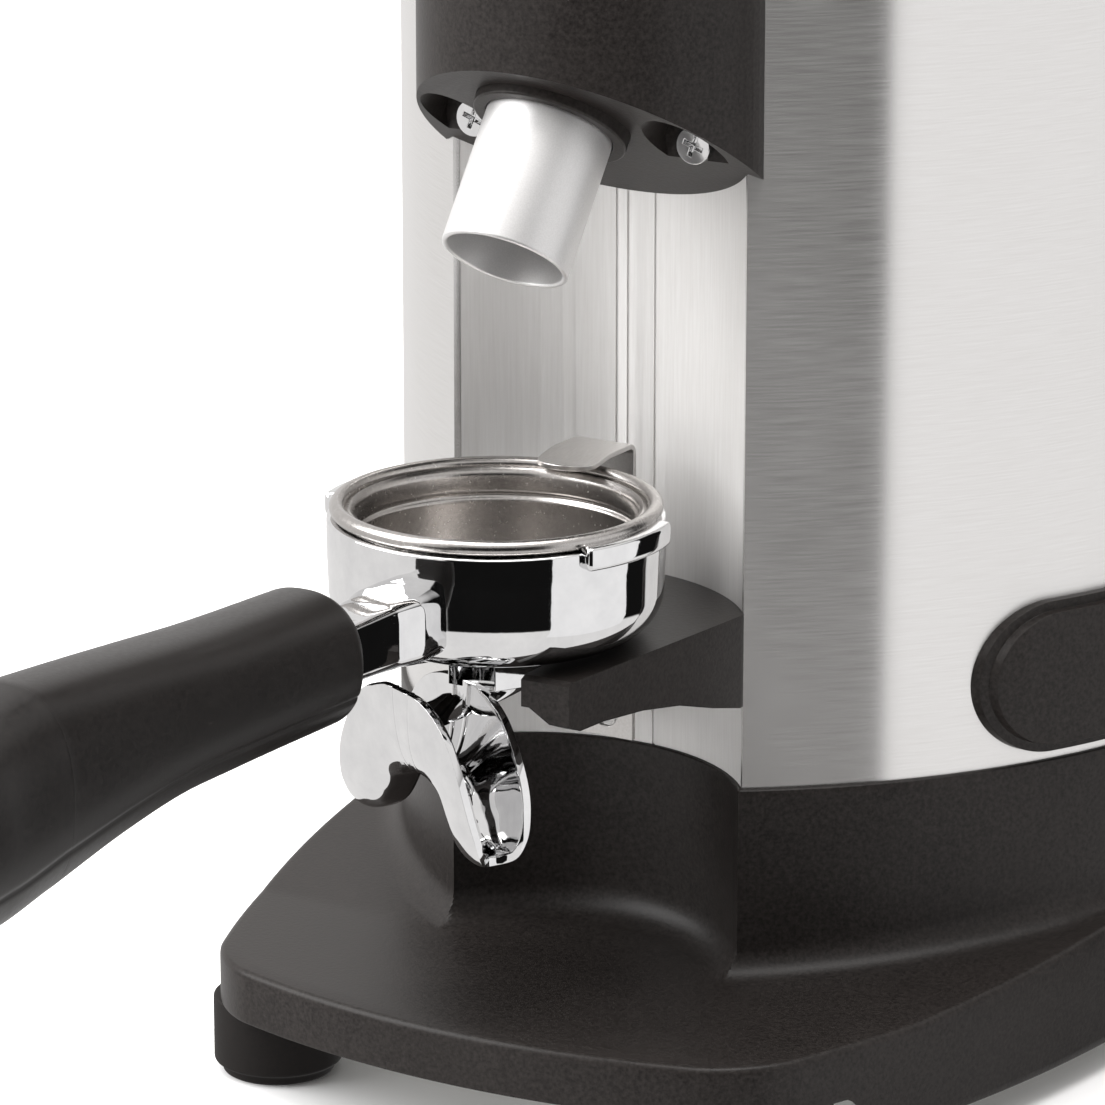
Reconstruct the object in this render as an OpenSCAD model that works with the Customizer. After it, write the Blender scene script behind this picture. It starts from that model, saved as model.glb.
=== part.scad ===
// Burr coffee grinder with a dosing fork and a lift-off filter holder docked on it.
// Millimetres, +Z up, front towards -Y. The origin is on the floor under the middle of the footprint.
// Every place is measured from the vertical burr axis, which stands axis_y behind the origin.

/* [Base] */
// Radius of the base's rounded back
base_r = 98; // [97:0.5:101]
// Height of the riser's top, where the steel skin begins
riser_z = 71.7; // [66:0.1:78]
// Height of the tray's front top edge
tray_z = 29.5; // [27:0.1:32]
// Height of the skirt's lower edge at the front
skirt_z = 17.5; // [16:0.1:19]
// Height of the skirt's lower edge along the sides and back
skirt_side_z = 7; // [5:0.5:9]
// How far the tray reaches in front of the burr axis
tray_reach = 152.5; // [148:0.5:160]
// Moulded wall thickness of the base
base_wall = 3; // [2.5:0.1:3.5]
// Radius of a rubber foot
foot_r = 14.2; // [12:0.1:15]

/* [Body] */
// Radius of the steel body's rounded back
body_r = 94.8; // [93:0.2:96]
// Radius of the flatter sides that run forward from the rounded back
side_r = 150; // [130:1:180]
// Height of the steel skin's top edge
shell_top = 368; // [360:1:380]
// Sheet thickness of the steel skin
skin_t = 1.5; // [1:0.1:2]
// Radius of the hollow front
scoop_r = 46.5; // [45:0.5:48]
// Distance of the hollow front's centre in front of the burr axis
scoop_y = 119; // [117:0.5:121]

/* [Dosing head] */
// Radius of the half-round dosing head
head_r = 39; // [37:0.5:40]
// Distance of the dosing head's centre in front of the burr axis
head_y = 88.5; // [87.5:0.5:91]
// Angle of the spout tube from vertical
chute_tilt = 36; // [33:0.5:38]
// Outer radius of the spout tube
tube_r = 13.7; // [12:0.1:14.5]
// Length of tube that shows below the dosing head
tube_out = 32.5; // [25:0.5:38]

/* [Fork and clip] */
// Height of the fork's top face
fork_z = 111; // [108:0.5:116]
// How far the fork's tips reach in front of the burr axis
fork_reach = 153; // [148:0.5:153]
// Width of the gap between the fork's arms
fork_gap = 39; // [37:0.5:41]
// Width of the spring clip
clip_w = 14; // [12:0.5:14.5]

/* [Filter holder] */
// Distance of the filter holder's centre in front of the burr axis
holder_y = 131; // [129:0.5:133]
// Outer radius of the filter holder's bowl
bowl_r = 35.5; // [34:0.5:37]
// Height of the filter basket above the fork's top face
basket_rise = 30; // [28:0.5:32]
// Length from the bowl's centre to the handle's end
handle_reach = 221; // [205:1:235]

/* [Grinding group] */
// Outer radius of the burrs
burr_r = 32; // [29:0.5:34]
// Distance between the burr faces
burr_gap = 1; // [0.6:0.1:1.2]
// Radius of the motor's can
motor_r = 60; // [54:0.5:62]

/* [Hopper] */
// Radius of the bean hopper's rim
hopper_r = 88; // [80:1:94]
// Height of the bean hopper above its collar
hopper_h = 158; // [130:1:180]

/* [Hidden] */
$fn = 96;
fit = 0.1;                               // gap between parts that seat in each other
run = 0.05;                              // radial gap of a turning fit
gap = 0.3;                               // gap between parts that move past each other
cut = 1;                                 // overshoot of a cutting solid

back_y = 10;                             // centre of the body's rounded back, behind the burr axis
flat_az = 65.7;                          // where a flatter side meets the rounded back, from the front
base_y = 8;                              // centre of the base's rounded back
proud = 1;                               // how far the riser stands outside the steel
gland_out = 6;                           // how far the cable gland stands behind the riser
gland_z = 52;
gland_r = 7;
gland_y = back_y + body_r + proud;       // the riser's back face
axis_y = (holder_y + handle_reach - base_y - base_r - gland_out) / 2;

// tray outline: a shallow front arc and two long side arcs, with a small corner radius
front_arc_r = 195;
side_arc_r = 340;
side_arc_x = side_arc_r - base_r;
corner_r = 9;
front_arc_y = front_arc_r - tray_reach;
tray_flat = 97;                          // the tray is level in front of this distance, then climbs
tray_slope = 4.2;
drop_y0 = 116;                           // the skirt's lower edge steps down between these distances
drop_y1 = 101;
lip_t = 2.6;
lip_h = 4;
foot_x = 61.6;
foot_y = 123.4;
foot_back = 52;
foot_step_r = foot_r - 1.9;
foot_step = 2;
plate_t = 2;
floor_z = skirt_z + plate_t;

// spout axis: u points up the tube, and the head's underside lies square to it
under_y = head_y + 20;                   // where the tube's axis meets the underside
under_z = 217.3;
tube_t = 1.2;
collar_r = tube_r + 3;
collar_out = 2.2;
duct_r = tube_r + 3.3;
duct_bore = tube_r + fit;
duct_len = 96;
head_wall = 3;
under_tilt = chute_tilt - 3.3;           // the head's underside is a little flatter than the tube's end
under_top = under_z + 13.1;              // its height at the head's front
head_top = shell_top - 22;
pocket_r = 8;
screw_x = 27;
screw_z = 212.5;
screw_y = 96.8;                          // where the cover screws' heads stop
screw_r = 2;
screw_head_r = 4;
screw_head_t = 2.4;

// grinding group, stacked along the burr axis
deck_z = riser_z + lip_h;
deck_t = 4;
motor_z = deck_z + deck_t;
motor_h = 138;
motor_wall = 6;
can_t = 3;
shaft_r = 8;
bearing_r = 16;
bearing_h = 11;
stator_in = motor_r - 27;
rotor_r = stator_in - 0.5;
flange_z = 276;
flange_t = 8;
flange_r = 80;
chamber_z = flange_z + flange_t;
chamber_floor = 8;
chamber_in = burr_r + 11;
chamber_r = chamber_in + 9;
chamber_top = 342;
carrier_z = chamber_z + chamber_floor + 1.5;
carrier_t = 7.5;
burr_t = 8;
burr_bore = 19;
lower_z = carrier_z + carrier_t;
upper_z = lower_z + burr_t + burr_gap;
port_w = 26;
port_z0 = chamber_z + chamber_floor + 1;
port_h = 16;
column_r = 5;
column_at = 72;

// top housing, adjustment collar and hopper
cap_z = shell_top;
cap_t = 20;
cap_top = cap_z + cap_t;
ring_z = cap_top + 1;
ring_h = 22;
ring_r = 66;
neck_r = 27.5;
neck_wall = 2.5;
neck_z = ring_z + 4;
gate_t = 2.6;
gate_z = ring_z + ring_h + 5;
cone_z0 = gate_z + 9;
hopper_top = ring_z + ring_h + hopper_h;
cone_z1 = cone_z0 + 0.47 * (hopper_top - cone_z0);
lid_t = 6;

// control panel on the dosing head's sloped top
face_tilt = 49.5;
face_y = head_y + 21;
face_z = head_top + 22.5;
panel_w = 46;
panel_h = 31;
panel_t = 2.4;
button_r = 4.6;
button_up = 2.2;
button_x = 14;
button_y = -8;

// fine upright seam lines pressed into the hollow front
seam_at = [6.5, 3.2, -5.2];
seam_w = 0.7;
seam_deep = 0.3;

// side switch plate, wrapped on the body
plate_az = 84;
plate_half = 29;
plate_r = 17;
plate_z = 91;
plate_out = 4;
plate_step = 2;
wall_at = sqrt(body_r * body_r - pow(back_y * sin(plate_az), 2)) - back_y * cos(plate_az);
rocker_w = 13;
rocker_h = 19;

// fork and spring clip
fork_root_y = 85.1;
flange_low = 6.5;
web_in = 31 - 4.6;                        // inner face of each arm's web
clip_t = 1.2;
clip_y = fork_root_y + fit;
clip_low = riser_z + 5;
tongue_end = 108;
lock_at = 84;                            // the lock knob's distance from the burr axis

// filter holder heights, all from the fork's top face
bowl_z = fork_z + gap + 0.7;
rim_z = fork_z + basket_rise;
basket_in = bowl_r - 6;
basket_t = 0.8;
bead_r = 1.6;
bead_at = bowl_r - 2.2;
wall_top = rim_z - 3.4;
lug_out = 2.6;
lug_t = 5;
handle_z = rim_z - 15.7;
handle_from = holder_y + 70.5;
cap_from = holder_y + 171;
handle_end = holder_y + handle_reach;
spout_turn = 27;
spout_y = 16.6;
spout_z = 71.2;
spout_leg = 4.8;
spout_bend = 20;
spout_r = 8.2;
spout_t = 1.6;

ABS_BLACK = [0.11, 0.105, 0.10];
GRIP_BLACK = [0.08, 0.075, 0.07];
STEEL = [0.74, 0.74, 0.74];
SATIN = [0.80, 0.80, 0.80];
CHROME = [0.88, 0.88, 0.89];
RUBBER = [0.05, 0.045, 0.04];
CLEAR = [0.72, 0.74, 0.76, 0.4];
COPPER = [0.70, 0.42, 0.25];
BOARD = [0.10, 0.32, 0.18];
CAST = [0.60, 0.60, 0.61];

// ---- shared shapes ----

module at_axis() { translate([0, axis_y, 0]) children(); }
module at_spout() { at_axis() translate([0, -under_y, under_z]) rotate([-chute_tilt, 0, 0]) children(); }
module at_face() { at_axis() translate([0, -face_y, face_z]) rotate([face_tilt, 0, 0]) children(); }
module at_holder() { at_axis() translate([0, -holder_y, 0]) children(); }
module at_plate() { at_axis() rotate([0, 0, plate_az - 90]) children(); }

// a cylinder lying along Y, from y0 to y1
module bar_y(x, z, r, y0, y1) {
  translate([x, y1, z]) rotate([90, 0, 0]) cylinder(r = r, h = y1 - y0);
}

module tube(r_out, r_in, z0, z1) {
  difference() {
    translate([0, 0, z0]) cylinder(r = r_out, h = z1 - z0);
    translate([0, 0, z0 - cut]) cylinder(r = r_in, h = z1 - z0 + 2 * cut);
  }
}

// full body outline: a rounded back that runs tangent into two flatter sides
module body_outline(inset) {
  away = [sin(flat_az), -cos(flat_az)];
  c = [0, back_y] - (side_r - body_r) * away;
  meet = c + (side_r - inset) * away;
  union() {
    translate([0, back_y]) circle(r = body_r - inset);
    intersection() {
      translate(c) circle(r = side_r - inset);
      translate([-c[0], c[1]]) circle(r = side_r - inset);
      translate([-150, -200]) square([300, 200 + meet[1]]);
    }
  }
}

// body plan: that outline with the hollow front bitten out of it
module body_plan(inset) {
  difference() {
    body_outline(inset);
    translate([0, -scoop_y]) circle(r = scoop_r + inset);
  }
}

// centre of the tray's corner radius, inside both arcs by the same distance
function corner_c(inset) = let(
    r1 = front_arc_r - corner_r, r2 = side_arc_r - corner_r, d = norm([side_arc_x, front_arc_y]),
    a = (r1 * r1 - r2 * r2 + d * d) / (2 * d), h = sqrt(r1 * r1 - a * a),
    ex = -side_arc_x / d, ey = -front_arc_y / d)
  [a * ex - h * ey, front_arc_y + a * ey + h * ex];
function unit(v) = v / norm(v);

module tray_corner(inset) {
  c = corner_c(inset);
  p1 = unit(c - [0, front_arc_y]) * 40;
  p2 = unit(c - [-side_arc_x, 0]) * 40;
  difference() {
    polygon([c, c + p1, c + p1 + p2, c + p2]);
    translate(c) circle(r = corner_r - inset);
  }
}

module tray_plan(inset) {
  difference() {
    intersection() {
      translate([0, front_arc_y]) circle(r = front_arc_r - inset);
      translate([-side_arc_x, 0]) circle(r = side_arc_r - inset);
      translate([side_arc_x, 0]) circle(r = side_arc_r - inset);
      translate([-150, -200]) square([300, 200 + base_y]);
    }
    tray_corner(inset);
    mirror([1, 0]) tray_corner(inset);
  }
}

// everything below the tray's top: level at the front, then a gentle climb
module under_tray(lower) {
  translate([-150, 0, 0]) rotate([90, 0, 90]) linear_extrude(300)
    polygon([[-200, -cut], [-200, tray_z - lower], [-tray_flat, tray_z - lower],
      [40, tray_z - lower + (40 + tray_flat) * tan(tray_slope)],
      [150, tray_z - lower + (40 + tray_flat) * tan(tray_slope)], [150, -cut]]);
}

// the space under the skirt's lower edge
module skirt_cut() {
  translate([-150, 0, 0]) rotate([90, 0, 90]) linear_extrude(300)
    polygon([[-200, -cut], [-200, skirt_z], [-drop_y0, skirt_z], [-drop_y1, skirt_side_z],
      [150, skirt_side_z], [150, -cut]]);
}

// the whole foot of the base, tray and rounded back together
module foot_plan(inset) {
  tray_plan(inset);
  translate([0, base_y]) circle(r = base_r - inset);
}

// ---- base ----

module base_housing() {
  color(ABS_BLACK) at_axis() difference() {
    union() {
      intersection() {
        linear_extrude(riser_z) foot_plan(0);
        under_tray(0);
      }
      linear_extrude(riser_z) body_plan(-proud);
      translate([0, 0, riser_z - cut]) linear_extrude(lip_h + cut) body_plan(skin_t + fit);
    }
    intersection() {
      translate([0, 0, -cut]) linear_extrude(riser_z) foot_plan(base_wall);
      under_tray(base_wall);
    }
    translate([0, 0, floor_z]) linear_extrude(riser_z - floor_z - base_wall)
      body_plan(base_wall - proud);
    translate([0, 0, floor_z]) linear_extrude(riser_z) body_plan(skin_t + fit + lip_t);
    skirt_cut();
    bar_y(0, gland_z, gland_r, 60, 120);
  }
}

module bottom_plate() {
  color(STEEL) at_axis() difference() {
    translate([0, 0, skirt_z]) linear_extrude(plate_t) foot_plan(base_wall + 0.4);
    foot_places() translate([0, 0, skirt_z - cut]) cylinder(r = screw_r + fit, h = 20);
  }
}

module foot_places() {
  for (x = [-1, 1]) {
    translate([x * foot_x, -foot_y, 0]) children();
    translate([x * foot_back, foot_back, 0]) children();
  }
}

module feet() {
  color(RUBBER) at_axis() foot_places() difference() {
    union() {
      translate([0, 0, foot_step]) cylinder(r = foot_r, h = skirt_z - foot_step);
      cylinder(r = foot_step_r, h = skirt_z);
    }
    translate([0, 0, -cut]) cylinder(r = screw_r + fit, h = 30);
    translate([0, 0, -cut]) cylinder(r = 5, h = 6 + cut);
  }
}

module foot_screws() {
  color(STEEL) at_axis() foot_places() {
    translate([0, 0, 6]) cylinder(r = screw_r, h = floor_z + 3 - 6);
    translate([0, 0, 6 - screw_head_t]) cylinder(r = screw_head_r, h = screw_head_t);
  }
}

module cable_gland() {
  color(ABS_BLACK) at_axis() difference() {
    union() {
      bar_y(0, gland_z, gland_r - fit, gland_y - 12, base_y + base_r + gland_out);
      bar_y(0, gland_z, gland_r + 3, gland_y, gland_y + 3);
    }
    bar_y(0, gland_z, 3.6, gland_y - 20, gland_y + 20);
  }
}

// ---- body ----

module body_shell() {
  color(STEEL) at_axis() difference() {
    translate([0, 0, riser_z]) linear_extrude(shell_top - riser_z) difference() {
      body_outline(0);
      body_outline(skin_t);
      translate([0, -scoop_y]) circle(r = scoop_r);
    }
    for (i = [0:5]) translate([-22, 60, 240 + i * 12]) cube([44, 60, 4]);
    rotate([0, 0, plate_az - 90]) translate([60, -rocker_w / 2 - 3.4, plate_z - rocker_h / 2 - 3.4])
      cube([60, rocker_w + 6.8, rocker_h + 6.8]);
  }
}

module front_panel() {
  color(SATIN) at_axis() difference() {
    translate([0, 0, riser_z]) linear_extrude(shell_top - riser_z) intersection() {
      body_outline(skin_t + fit);
      difference() {
        translate([0, -scoop_y]) circle(r = scoop_r + skin_t);
        translate([0, -scoop_y]) circle(r = scoop_r);
      }
    }
    translate([-duct_r - 4, -100, 236]) cube([2 * duct_r + 8, 60, 88]);
    fixing_axes() bar_y(0, 0, screw_r + fit, -100, -50);
    for (a = seam_at) translate([0, -scoop_y, 0]) rotate([0, 0, a])
      translate([-seam_w / 2, scoop_r - 2, riser_z]) cube([seam_w, 2 + seam_deep, shell_top]);
  }
}

// the axes of the screws that go back into the hollow front: two for the fork, two for the head
module fixing_axes() {
  for (x = [-1, 1]) {
    translate([x * 12, 0, fork_z - 10]) children();
    translate([x * screw_x, 0, screw_z]) children();
  }
}

// a lying oval, drawn in a plane across the side of the body and pushed out through it
module plate_bar(inset) {
  rotate([90, 0, 90]) linear_extrude(200) union() {
    for (t = [-1, 1]) translate([t * plate_half, plate_z]) circle(r = plate_r - inset);
    translate([-plate_half, plate_z - plate_r + inset]) square(2 * [plate_half, plate_r - inset]);
  }
}

module switch_plate() {
  color(ABS_BLACK) difference() {
    union() {
      intersection() {
        at_plate() plate_bar(0);
        at_axis() linear_extrude(200) difference() {
          body_outline(-plate_out + plate_step);
          body_outline(0);
        }
      }
      intersection() {
        at_plate() plate_bar(plate_step);
        at_axis() linear_extrude(200) difference() {
          body_outline(-plate_out);
          body_outline(-plate_step + cut);
        }
      }
      at_plate() translate([wall_at - 11, -rocker_w / 2 - 3, plate_z - rocker_h / 2 - 3])
        cube([13, rocker_w + 6, rocker_h + 6]);
    }
    at_plate() translate([wall_at - 9.5, -rocker_w / 2 - 0.5, plate_z - rocker_h / 2 - 1.3])
      cube([40, rocker_w + 1, rocker_h + 2.6]);
  }
}

module power_rocker() {
  color(GRIP_BLACK) at_plate() translate([wall_at + 0.6, 0, plate_z]) rotate([0, 7, 0])
    translate([0, rocker_w / 2, 0]) rotate([90, 0, 0]) linear_extrude(rocker_w)
      polygon([[-4, -rocker_h / 2 + 0.5], [4.4, -rocker_h / 2], [3, 0], [4.4, rocker_h / 2],
        [-4, rocker_h / 2 - 0.5]]);
}

// ---- fork and spring clip ----

module fork() {
  tip = fork_reach;
  color(ABS_BLACK) at_axis() difference() {
    intersection() {
      translate([0, 0, fork_z - 30]) linear_extrude(30) difference() {
        intersection() {
          translate([0, -scoop_y]) circle(r = scoop_r - fit);
          polygon([[-31, -tip], [31, -tip], [33.5, -125], [36.8, -92], [36.8, -60], [-36.8, -60],
            [-36.8, -92], [-33.5, -125]]);
        }
        translate([0, -fork_root_y - fork_gap / 2]) circle(r = fork_gap / 2);
        translate([-fork_gap / 2, -200]) square([fork_gap, 200 - fork_root_y - fork_gap / 2]);
      }
      translate([-60, 0, 0]) rotate([90, 0, 90]) linear_extrude(120)
        polygon([[-tip - 1, fork_z - 9], [-tip - 1, fork_z - 1.2], [-tip + 1.6, fork_z], [-60, fork_z],
          [-60, fork_z - 20.5], [-92, fork_z - 20.5], [-102, fork_z - 18], [-114, fork_z - 14.4],
          [-127, fork_z - 12.2], [-141, fork_z - 11], [-tip + 4, fork_z - 11]]);
    }
    for (x = [-12, 12]) {
      bar_y(x, fork_z - 10, screw_r + fit, -120, -60);
      bar_y(x, fork_z - 10, screw_head_r + 0.2, -120, -82);
    }
    bar_y(0, fork_z - 10, screw_r + fit, -100, -76);
    translate([-clip_w / 2 - fit, -100, fork_z - 40]) cube([clip_w + 2 * fit, 100 - fork_root_y, 60]);
    // under its top flange each arm is a narrower web
    translate([0, -fork_root_y - fork_gap / 2, fork_z]) rotate([90, 0, 0]) linear_extrude(80)
      polygon([[-web_in, -40], [-web_in, -flange_low - 3], [-web_in + 5, -flange_low],
        [web_in - 5, -flange_low], [web_in, -flange_low - 3], [web_in, -40]]);
  }
}

module fork_screws() {
  color(STEEL) at_axis() for (x = [-12, 12]) {
    bar_y(x, fork_z - 10, screw_r, -83, -66);
    bar_y(x, fork_z - 10, screw_head_r, -82 - screw_head_t, -82);
  }
}

// side view of the clip's outer face: up the tab, round the bend, forward, down and out along the tongue
function clip_line(in) = let(top = rim_z + gap + 2.2, r = 2.6) concat(
  [[-clip_y - in, clip_low]],
  [for (t = [0:15:90]) [-clip_y - r + (r - in) * cos(t), top - r + (r - in) * sin(t)]],
  [[-clip_y - 11, top - in], [-clip_y - 14, top - 0.4 - in], [-clip_y - 17, top - 0.9 - in],
    [-clip_y - 19, top - 1 - in], [-tongue_end, top - 0.7 - in]]);

module spring_clip() {
  far = clip_line(clip_t);
  color(STEEL) at_axis() difference() {
    intersection() {
      translate([-clip_w / 2, 0, 0]) rotate([90, 0, 90]) linear_extrude(clip_w)
        polygon(concat(clip_line(0), [for (i = [1:len(far)]) far[len(far) - i]]));
      union() {
        translate([0, -tongue_end + clip_w / 2, 0]) cylinder(r = clip_w / 2, h = 300);
        translate([-clip_w / 2, -tongue_end + clip_w / 2, 0]) cube([clip_w, 100, 300]);
      }
    }
    bar_y(0, clip_low + 5.5, 3.2, -100, -70);
    bar_y(0, fork_z - 10, screw_r + fit, -100, -70);
  }
}

module clip_screw() {
  color(STEEL) at_axis() {
    bar_y(0, fork_z - 10, screw_r, -clip_y - clip_t, -77);
    bar_y(0, fork_z - 10, screw_head_r - 0.6, -clip_y - clip_t - screw_head_t, -clip_y - clip_t);
  }
}

// ---- dosing head ----

module above_under(lift) {
  at_axis() translate([0, -head_y - head_r, under_top]) rotate([-under_tilt, 0, 0])
    translate([-100, -100, lift]) cube([200, 300, 400]);
}

module head_plan(inset) {
  difference() {
    translate([0, -head_y]) circle(r = head_r - inset);
    body_plan(-fit);
  }
}

module chute_cover() {
  color(ABS_BLACK) difference() {
    union() {
      difference() {
        intersection() {
          at_axis() translate([0, 0, 180]) linear_extrude(head_top - 180) head_plan(0);
          above_under(0);
        }
        intersection() {
          at_axis() translate([0, 0, 180]) linear_extrude(head_top - 180 + cut) head_plan(head_wall);
          above_under(head_wall);
        }
      }
      intersection() {
        at_axis() translate([0, 0, 180]) linear_extrude(60) head_plan(0);
        above_under(0);
        at_axis() for (x = [-1, 1]) bar_y(x * screw_x, screw_z, pocket_r + 2.5, -125, -60);
      }
    }
    at_axis() for (x = [-1, 1]) {
      bar_y(x * screw_x, screw_z, pocket_r, -160, -screw_y + screw_head_t);
      bar_y(x * screw_x, screw_z, screw_r + fit, -120, -60);
    }
    at_spout() translate([0, 0, -20]) cylinder(r = collar_r + fit, h = 60);
  }
}

module cover_screws() {
  color(CHROME) at_axis() for (x = [-1, 1]) difference() {
    union() {
      bar_y(x * screw_x, screw_z, screw_r, -screw_y + screw_head_t - cut, -70);
      bar_y(x * screw_x, screw_z, screw_head_r, -screw_y, -screw_y + screw_head_t);
    }
    for (a = [0, 90]) translate([x * screw_x, -screw_y, screw_z]) rotate([0, a + 20, 0])
      cube([4.6, 2.4, 0.9], center = true);
  }
}

module spout_collar() {
  color(ABS_BLACK) at_spout() tube(collar_r, tube_r + fit, -collar_out, head_wall + 1.5);
}

module spout_tube() {
  color(SATIN) at_spout() tube(tube_r, tube_r - tube_t, -tube_out, 24);
}

module port_box(grow) {
  translate([-port_w / 2 - grow, -74 - grow, port_z0 - grow])
    cube([port_w + 2 * grow, 74 + grow, port_h + 2 * grow]);
}

module chute_duct() {
  color(ABS_BLACK) difference() {
    union() {
      at_spout() translate([0, 0, head_wall + 1.6]) cylinder(r = duct_r, h = duct_len);
      at_axis() port_box(3);
    }
    at_spout() translate([0, 0, head_wall]) cylinder(r = duct_bore, h = duct_len - 4);
    at_axis() port_box(0);
    at_axis() translate([0, 0, 200]) cylinder(r = chamber_r + fit, h = 200);
    at_axis() translate([0, 0, 200]) intersection() {
      cylinder(r = flange_r + 2, h = chamber_z + fit - 200);
      translate([-60, -45, 0]) cube([120, 100, 200]);
    }
  }
}

// ---- motor ----

module motor_deck() {
  color(CAST) at_axis() difference() {
    translate([0, 0, deck_z]) linear_extrude(deck_t) body_plan(skin_t + 1.5);
    translate([0, 0, deck_z - cut]) cylinder(r = 20, h = 10);
    column_places() translate([0, 0, deck_z - cut]) cylinder(r = screw_r, h = 10);
    rotate([0, 0, plate_az - 90]) translate([wall_at - 13, -rocker_w / 2 - 4, deck_z - cut])
      cube([30, rocker_w + 8, 10]);
  }
}

module column_places() {
  for (a = [15, 90, 165]) rotate([0, 0, a]) translate([column_at, 0, 0]) children();
}

module columns() {
  color(STEEL) at_axis() column_places()
    translate([0, 0, motor_z]) cylinder(r = column_r, h = flange_z - motor_z);
}

module motor_can() {
  color(CAST) at_axis() difference() {
    translate([0, 0, motor_z]) cylinder(r = motor_r, h = motor_h);
    translate([0, 0, motor_z + motor_wall]) cylinder(r = motor_r - can_t, h = motor_h - 2 * motor_wall);
    translate([0, 0, motor_z - cut]) cylinder(r = shaft_r + 2, h = motor_h + 2 * cut);
    for (a = [0:30:330]) rotate([0, 0, a]) translate([motor_r - 8, -2.5, motor_z + 14])
      cube([20, 5, 24]);
  }
}

module stator() {
  color(COPPER) at_axis() tube(motor_r - can_t - fit, stator_in, motor_z + 34, motor_z + motor_h - 32);
}

module rotor_shaft() {
  color(STEEL) at_axis() {
    translate([0, 0, motor_z + 2]) cylinder(r = shaft_r, h = lower_z + 2 - motor_z - 2);
    translate([0, 0, motor_z + 36]) cylinder(r = rotor_r, h = motor_h - 70);
  }
}

module bearing(z) {
  color(CHROME) at_axis() tube(bearing_r, shaft_r + run, z, z + bearing_h);
}
module lower_bearing() { bearing(motor_z + motor_wall); }
module upper_bearing() { bearing(motor_z + motor_h - motor_wall - bearing_h); }

module capacitor() {
  color(CAST) at_axis() translate([-40, 66, motor_z]) cylinder(r = 15, h = 78);
}

module control_board() {
  color(BOARD) at_axis() {
    translate([10, 74, motor_z + 10]) cube([42, 1.6, 92]);
    translate([14, 66, motor_z + 24]) cube([16, 8.2, 20]);
    translate([34, 69, motor_z + 56]) cube([14, 5.2, 26]);
    for (z = [motor_z, motor_z + 96]) translate([10, 75.5, z]) cube([8, 6, 12]);
  }
}

// ---- grinding group ----

module grinding_chamber() {
  color(CAST) at_axis() difference() {
    union() {
      translate([0, 0, flange_z]) linear_extrude(flange_t) difference() {
        circle(r = flange_r);
        translate([0, -scoop_y]) circle(r = scoop_r + skin_t + 2);
        translate([-duct_r - 4, -90]) square([2 * duct_r + 8, 90 - chamber_in]);
      }
      translate([0, 0, flange_z]) cylinder(r = chamber_r, h = chamber_top - flange_z);
    }
    translate([0, 0, chamber_z + chamber_floor]) cylinder(r = chamber_in, h = 100);
    translate([0, 0, flange_z - cut]) cylinder(r = shaft_r + 1, h = 40);
    translate([-port_w / 2, -chamber_r - cut, port_z0]) cube([port_w, 20, port_h]);
  }
}

module burr_carrier() {
  color(CAST) at_axis() difference() {
    union() {
      translate([0, 0, carrier_z]) cylinder(r = burr_r + 3, h = carrier_t);
      translate([0, 0, carrier_z]) cylinder(r = 13, h = carrier_t + 7);
      for (a = [30, 210]) rotate([0, 0, a]) translate([burr_r, -2.5, carrier_z]) cube([10, 5, 6]);
    }
    translate([0, 0, carrier_z - cut]) cylinder(r = shaft_r, h = carrier_t + 3 + cut);
  }
}

// a ring burr with slanted cutting grooves on one face
module burr(z, up) {
  difference() {
    tube(burr_r, burr_bore, z, z + burr_t);
    for (a = [0:20:340]) rotate([0, 0, a])
      translate([burr_bore - 2, 1, up ? z + burr_t - 1.5 : z - cut]) rotate([0, 0, 22])
        cube([24, 2.4, 1.5 + cut]);
    burr_screw_places() translate([0, 0, z - cut]) cylinder(r = screw_r + fit, h = burr_t + 2 * cut);
    burr_screw_places() translate([0, 0, up ? z + burr_t - 3 : z - cut])
      cylinder(r = screw_head_r, h = 3 + cut);
  }
}

module burr_screw_places() {
  for (a = [10, 130, 250]) rotate([0, 0, a]) translate([(burr_r + burr_bore) / 2, 0, 0]) children();
}

module lower_burr() { color(STEEL) at_axis() burr(lower_z, true); }
module upper_burr() { color(STEEL) at_axis() burr(upper_z, false); }

module lower_burr_screws() {
  color(STEEL) at_axis() burr_screw_places() {
    translate([0, 0, lower_z]) cylinder(r = screw_r, h = burr_t - 3);
    translate([0, 0, lower_z + burr_t - 3]) cylinder(r = screw_head_r - fit, h = 1.2);
  }
}

module upper_burr_screws() {
  color(STEEL) at_axis() burr_screw_places() {
    translate([0, 0, upper_z + 3]) cylinder(r = screw_r, h = burr_t - 3);
    translate([0, 0, upper_z + 1.8]) cylinder(r = screw_head_r - fit, h = 1.2);
  }
}

module adjuster_body() {
  z0 = upper_z + burr_t;
  color(CAST) at_axis() difference() {
    translate([0, 0, z0]) cylinder(r = chamber_in - run, h = ring_z - z0);
    translate([0, 0, z0 - cut]) cylinder(r = burr_bore, h = 200);
    translate([0, 0, z0 + 6]) cylinder(r = chamber_in - 7, h = 200);
  }
}

module adjustment_collar() {
  color(ABS_BLACK) at_axis() difference() {
    union() {
      translate([0, 0, ring_z]) cylinder(r = ring_r, h = ring_h - 4);
      translate([0, 0, ring_z + ring_h - 4]) cylinder(r1 = ring_r, r2 = ring_r - 4, h = 4);
    }
    translate([0, 0, neck_z]) cylinder(r = neck_r + gap, h = 100);
    translate([0, 0, ring_z - cut]) cylinder(r = neck_r - neck_wall, h = 100);
    for (a = [0:10:350]) rotate([0, 0, a]) translate([ring_r + 1.2, 0, ring_z + 4])
      cylinder(r = 2.6, h = ring_h);
  }
}

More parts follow.
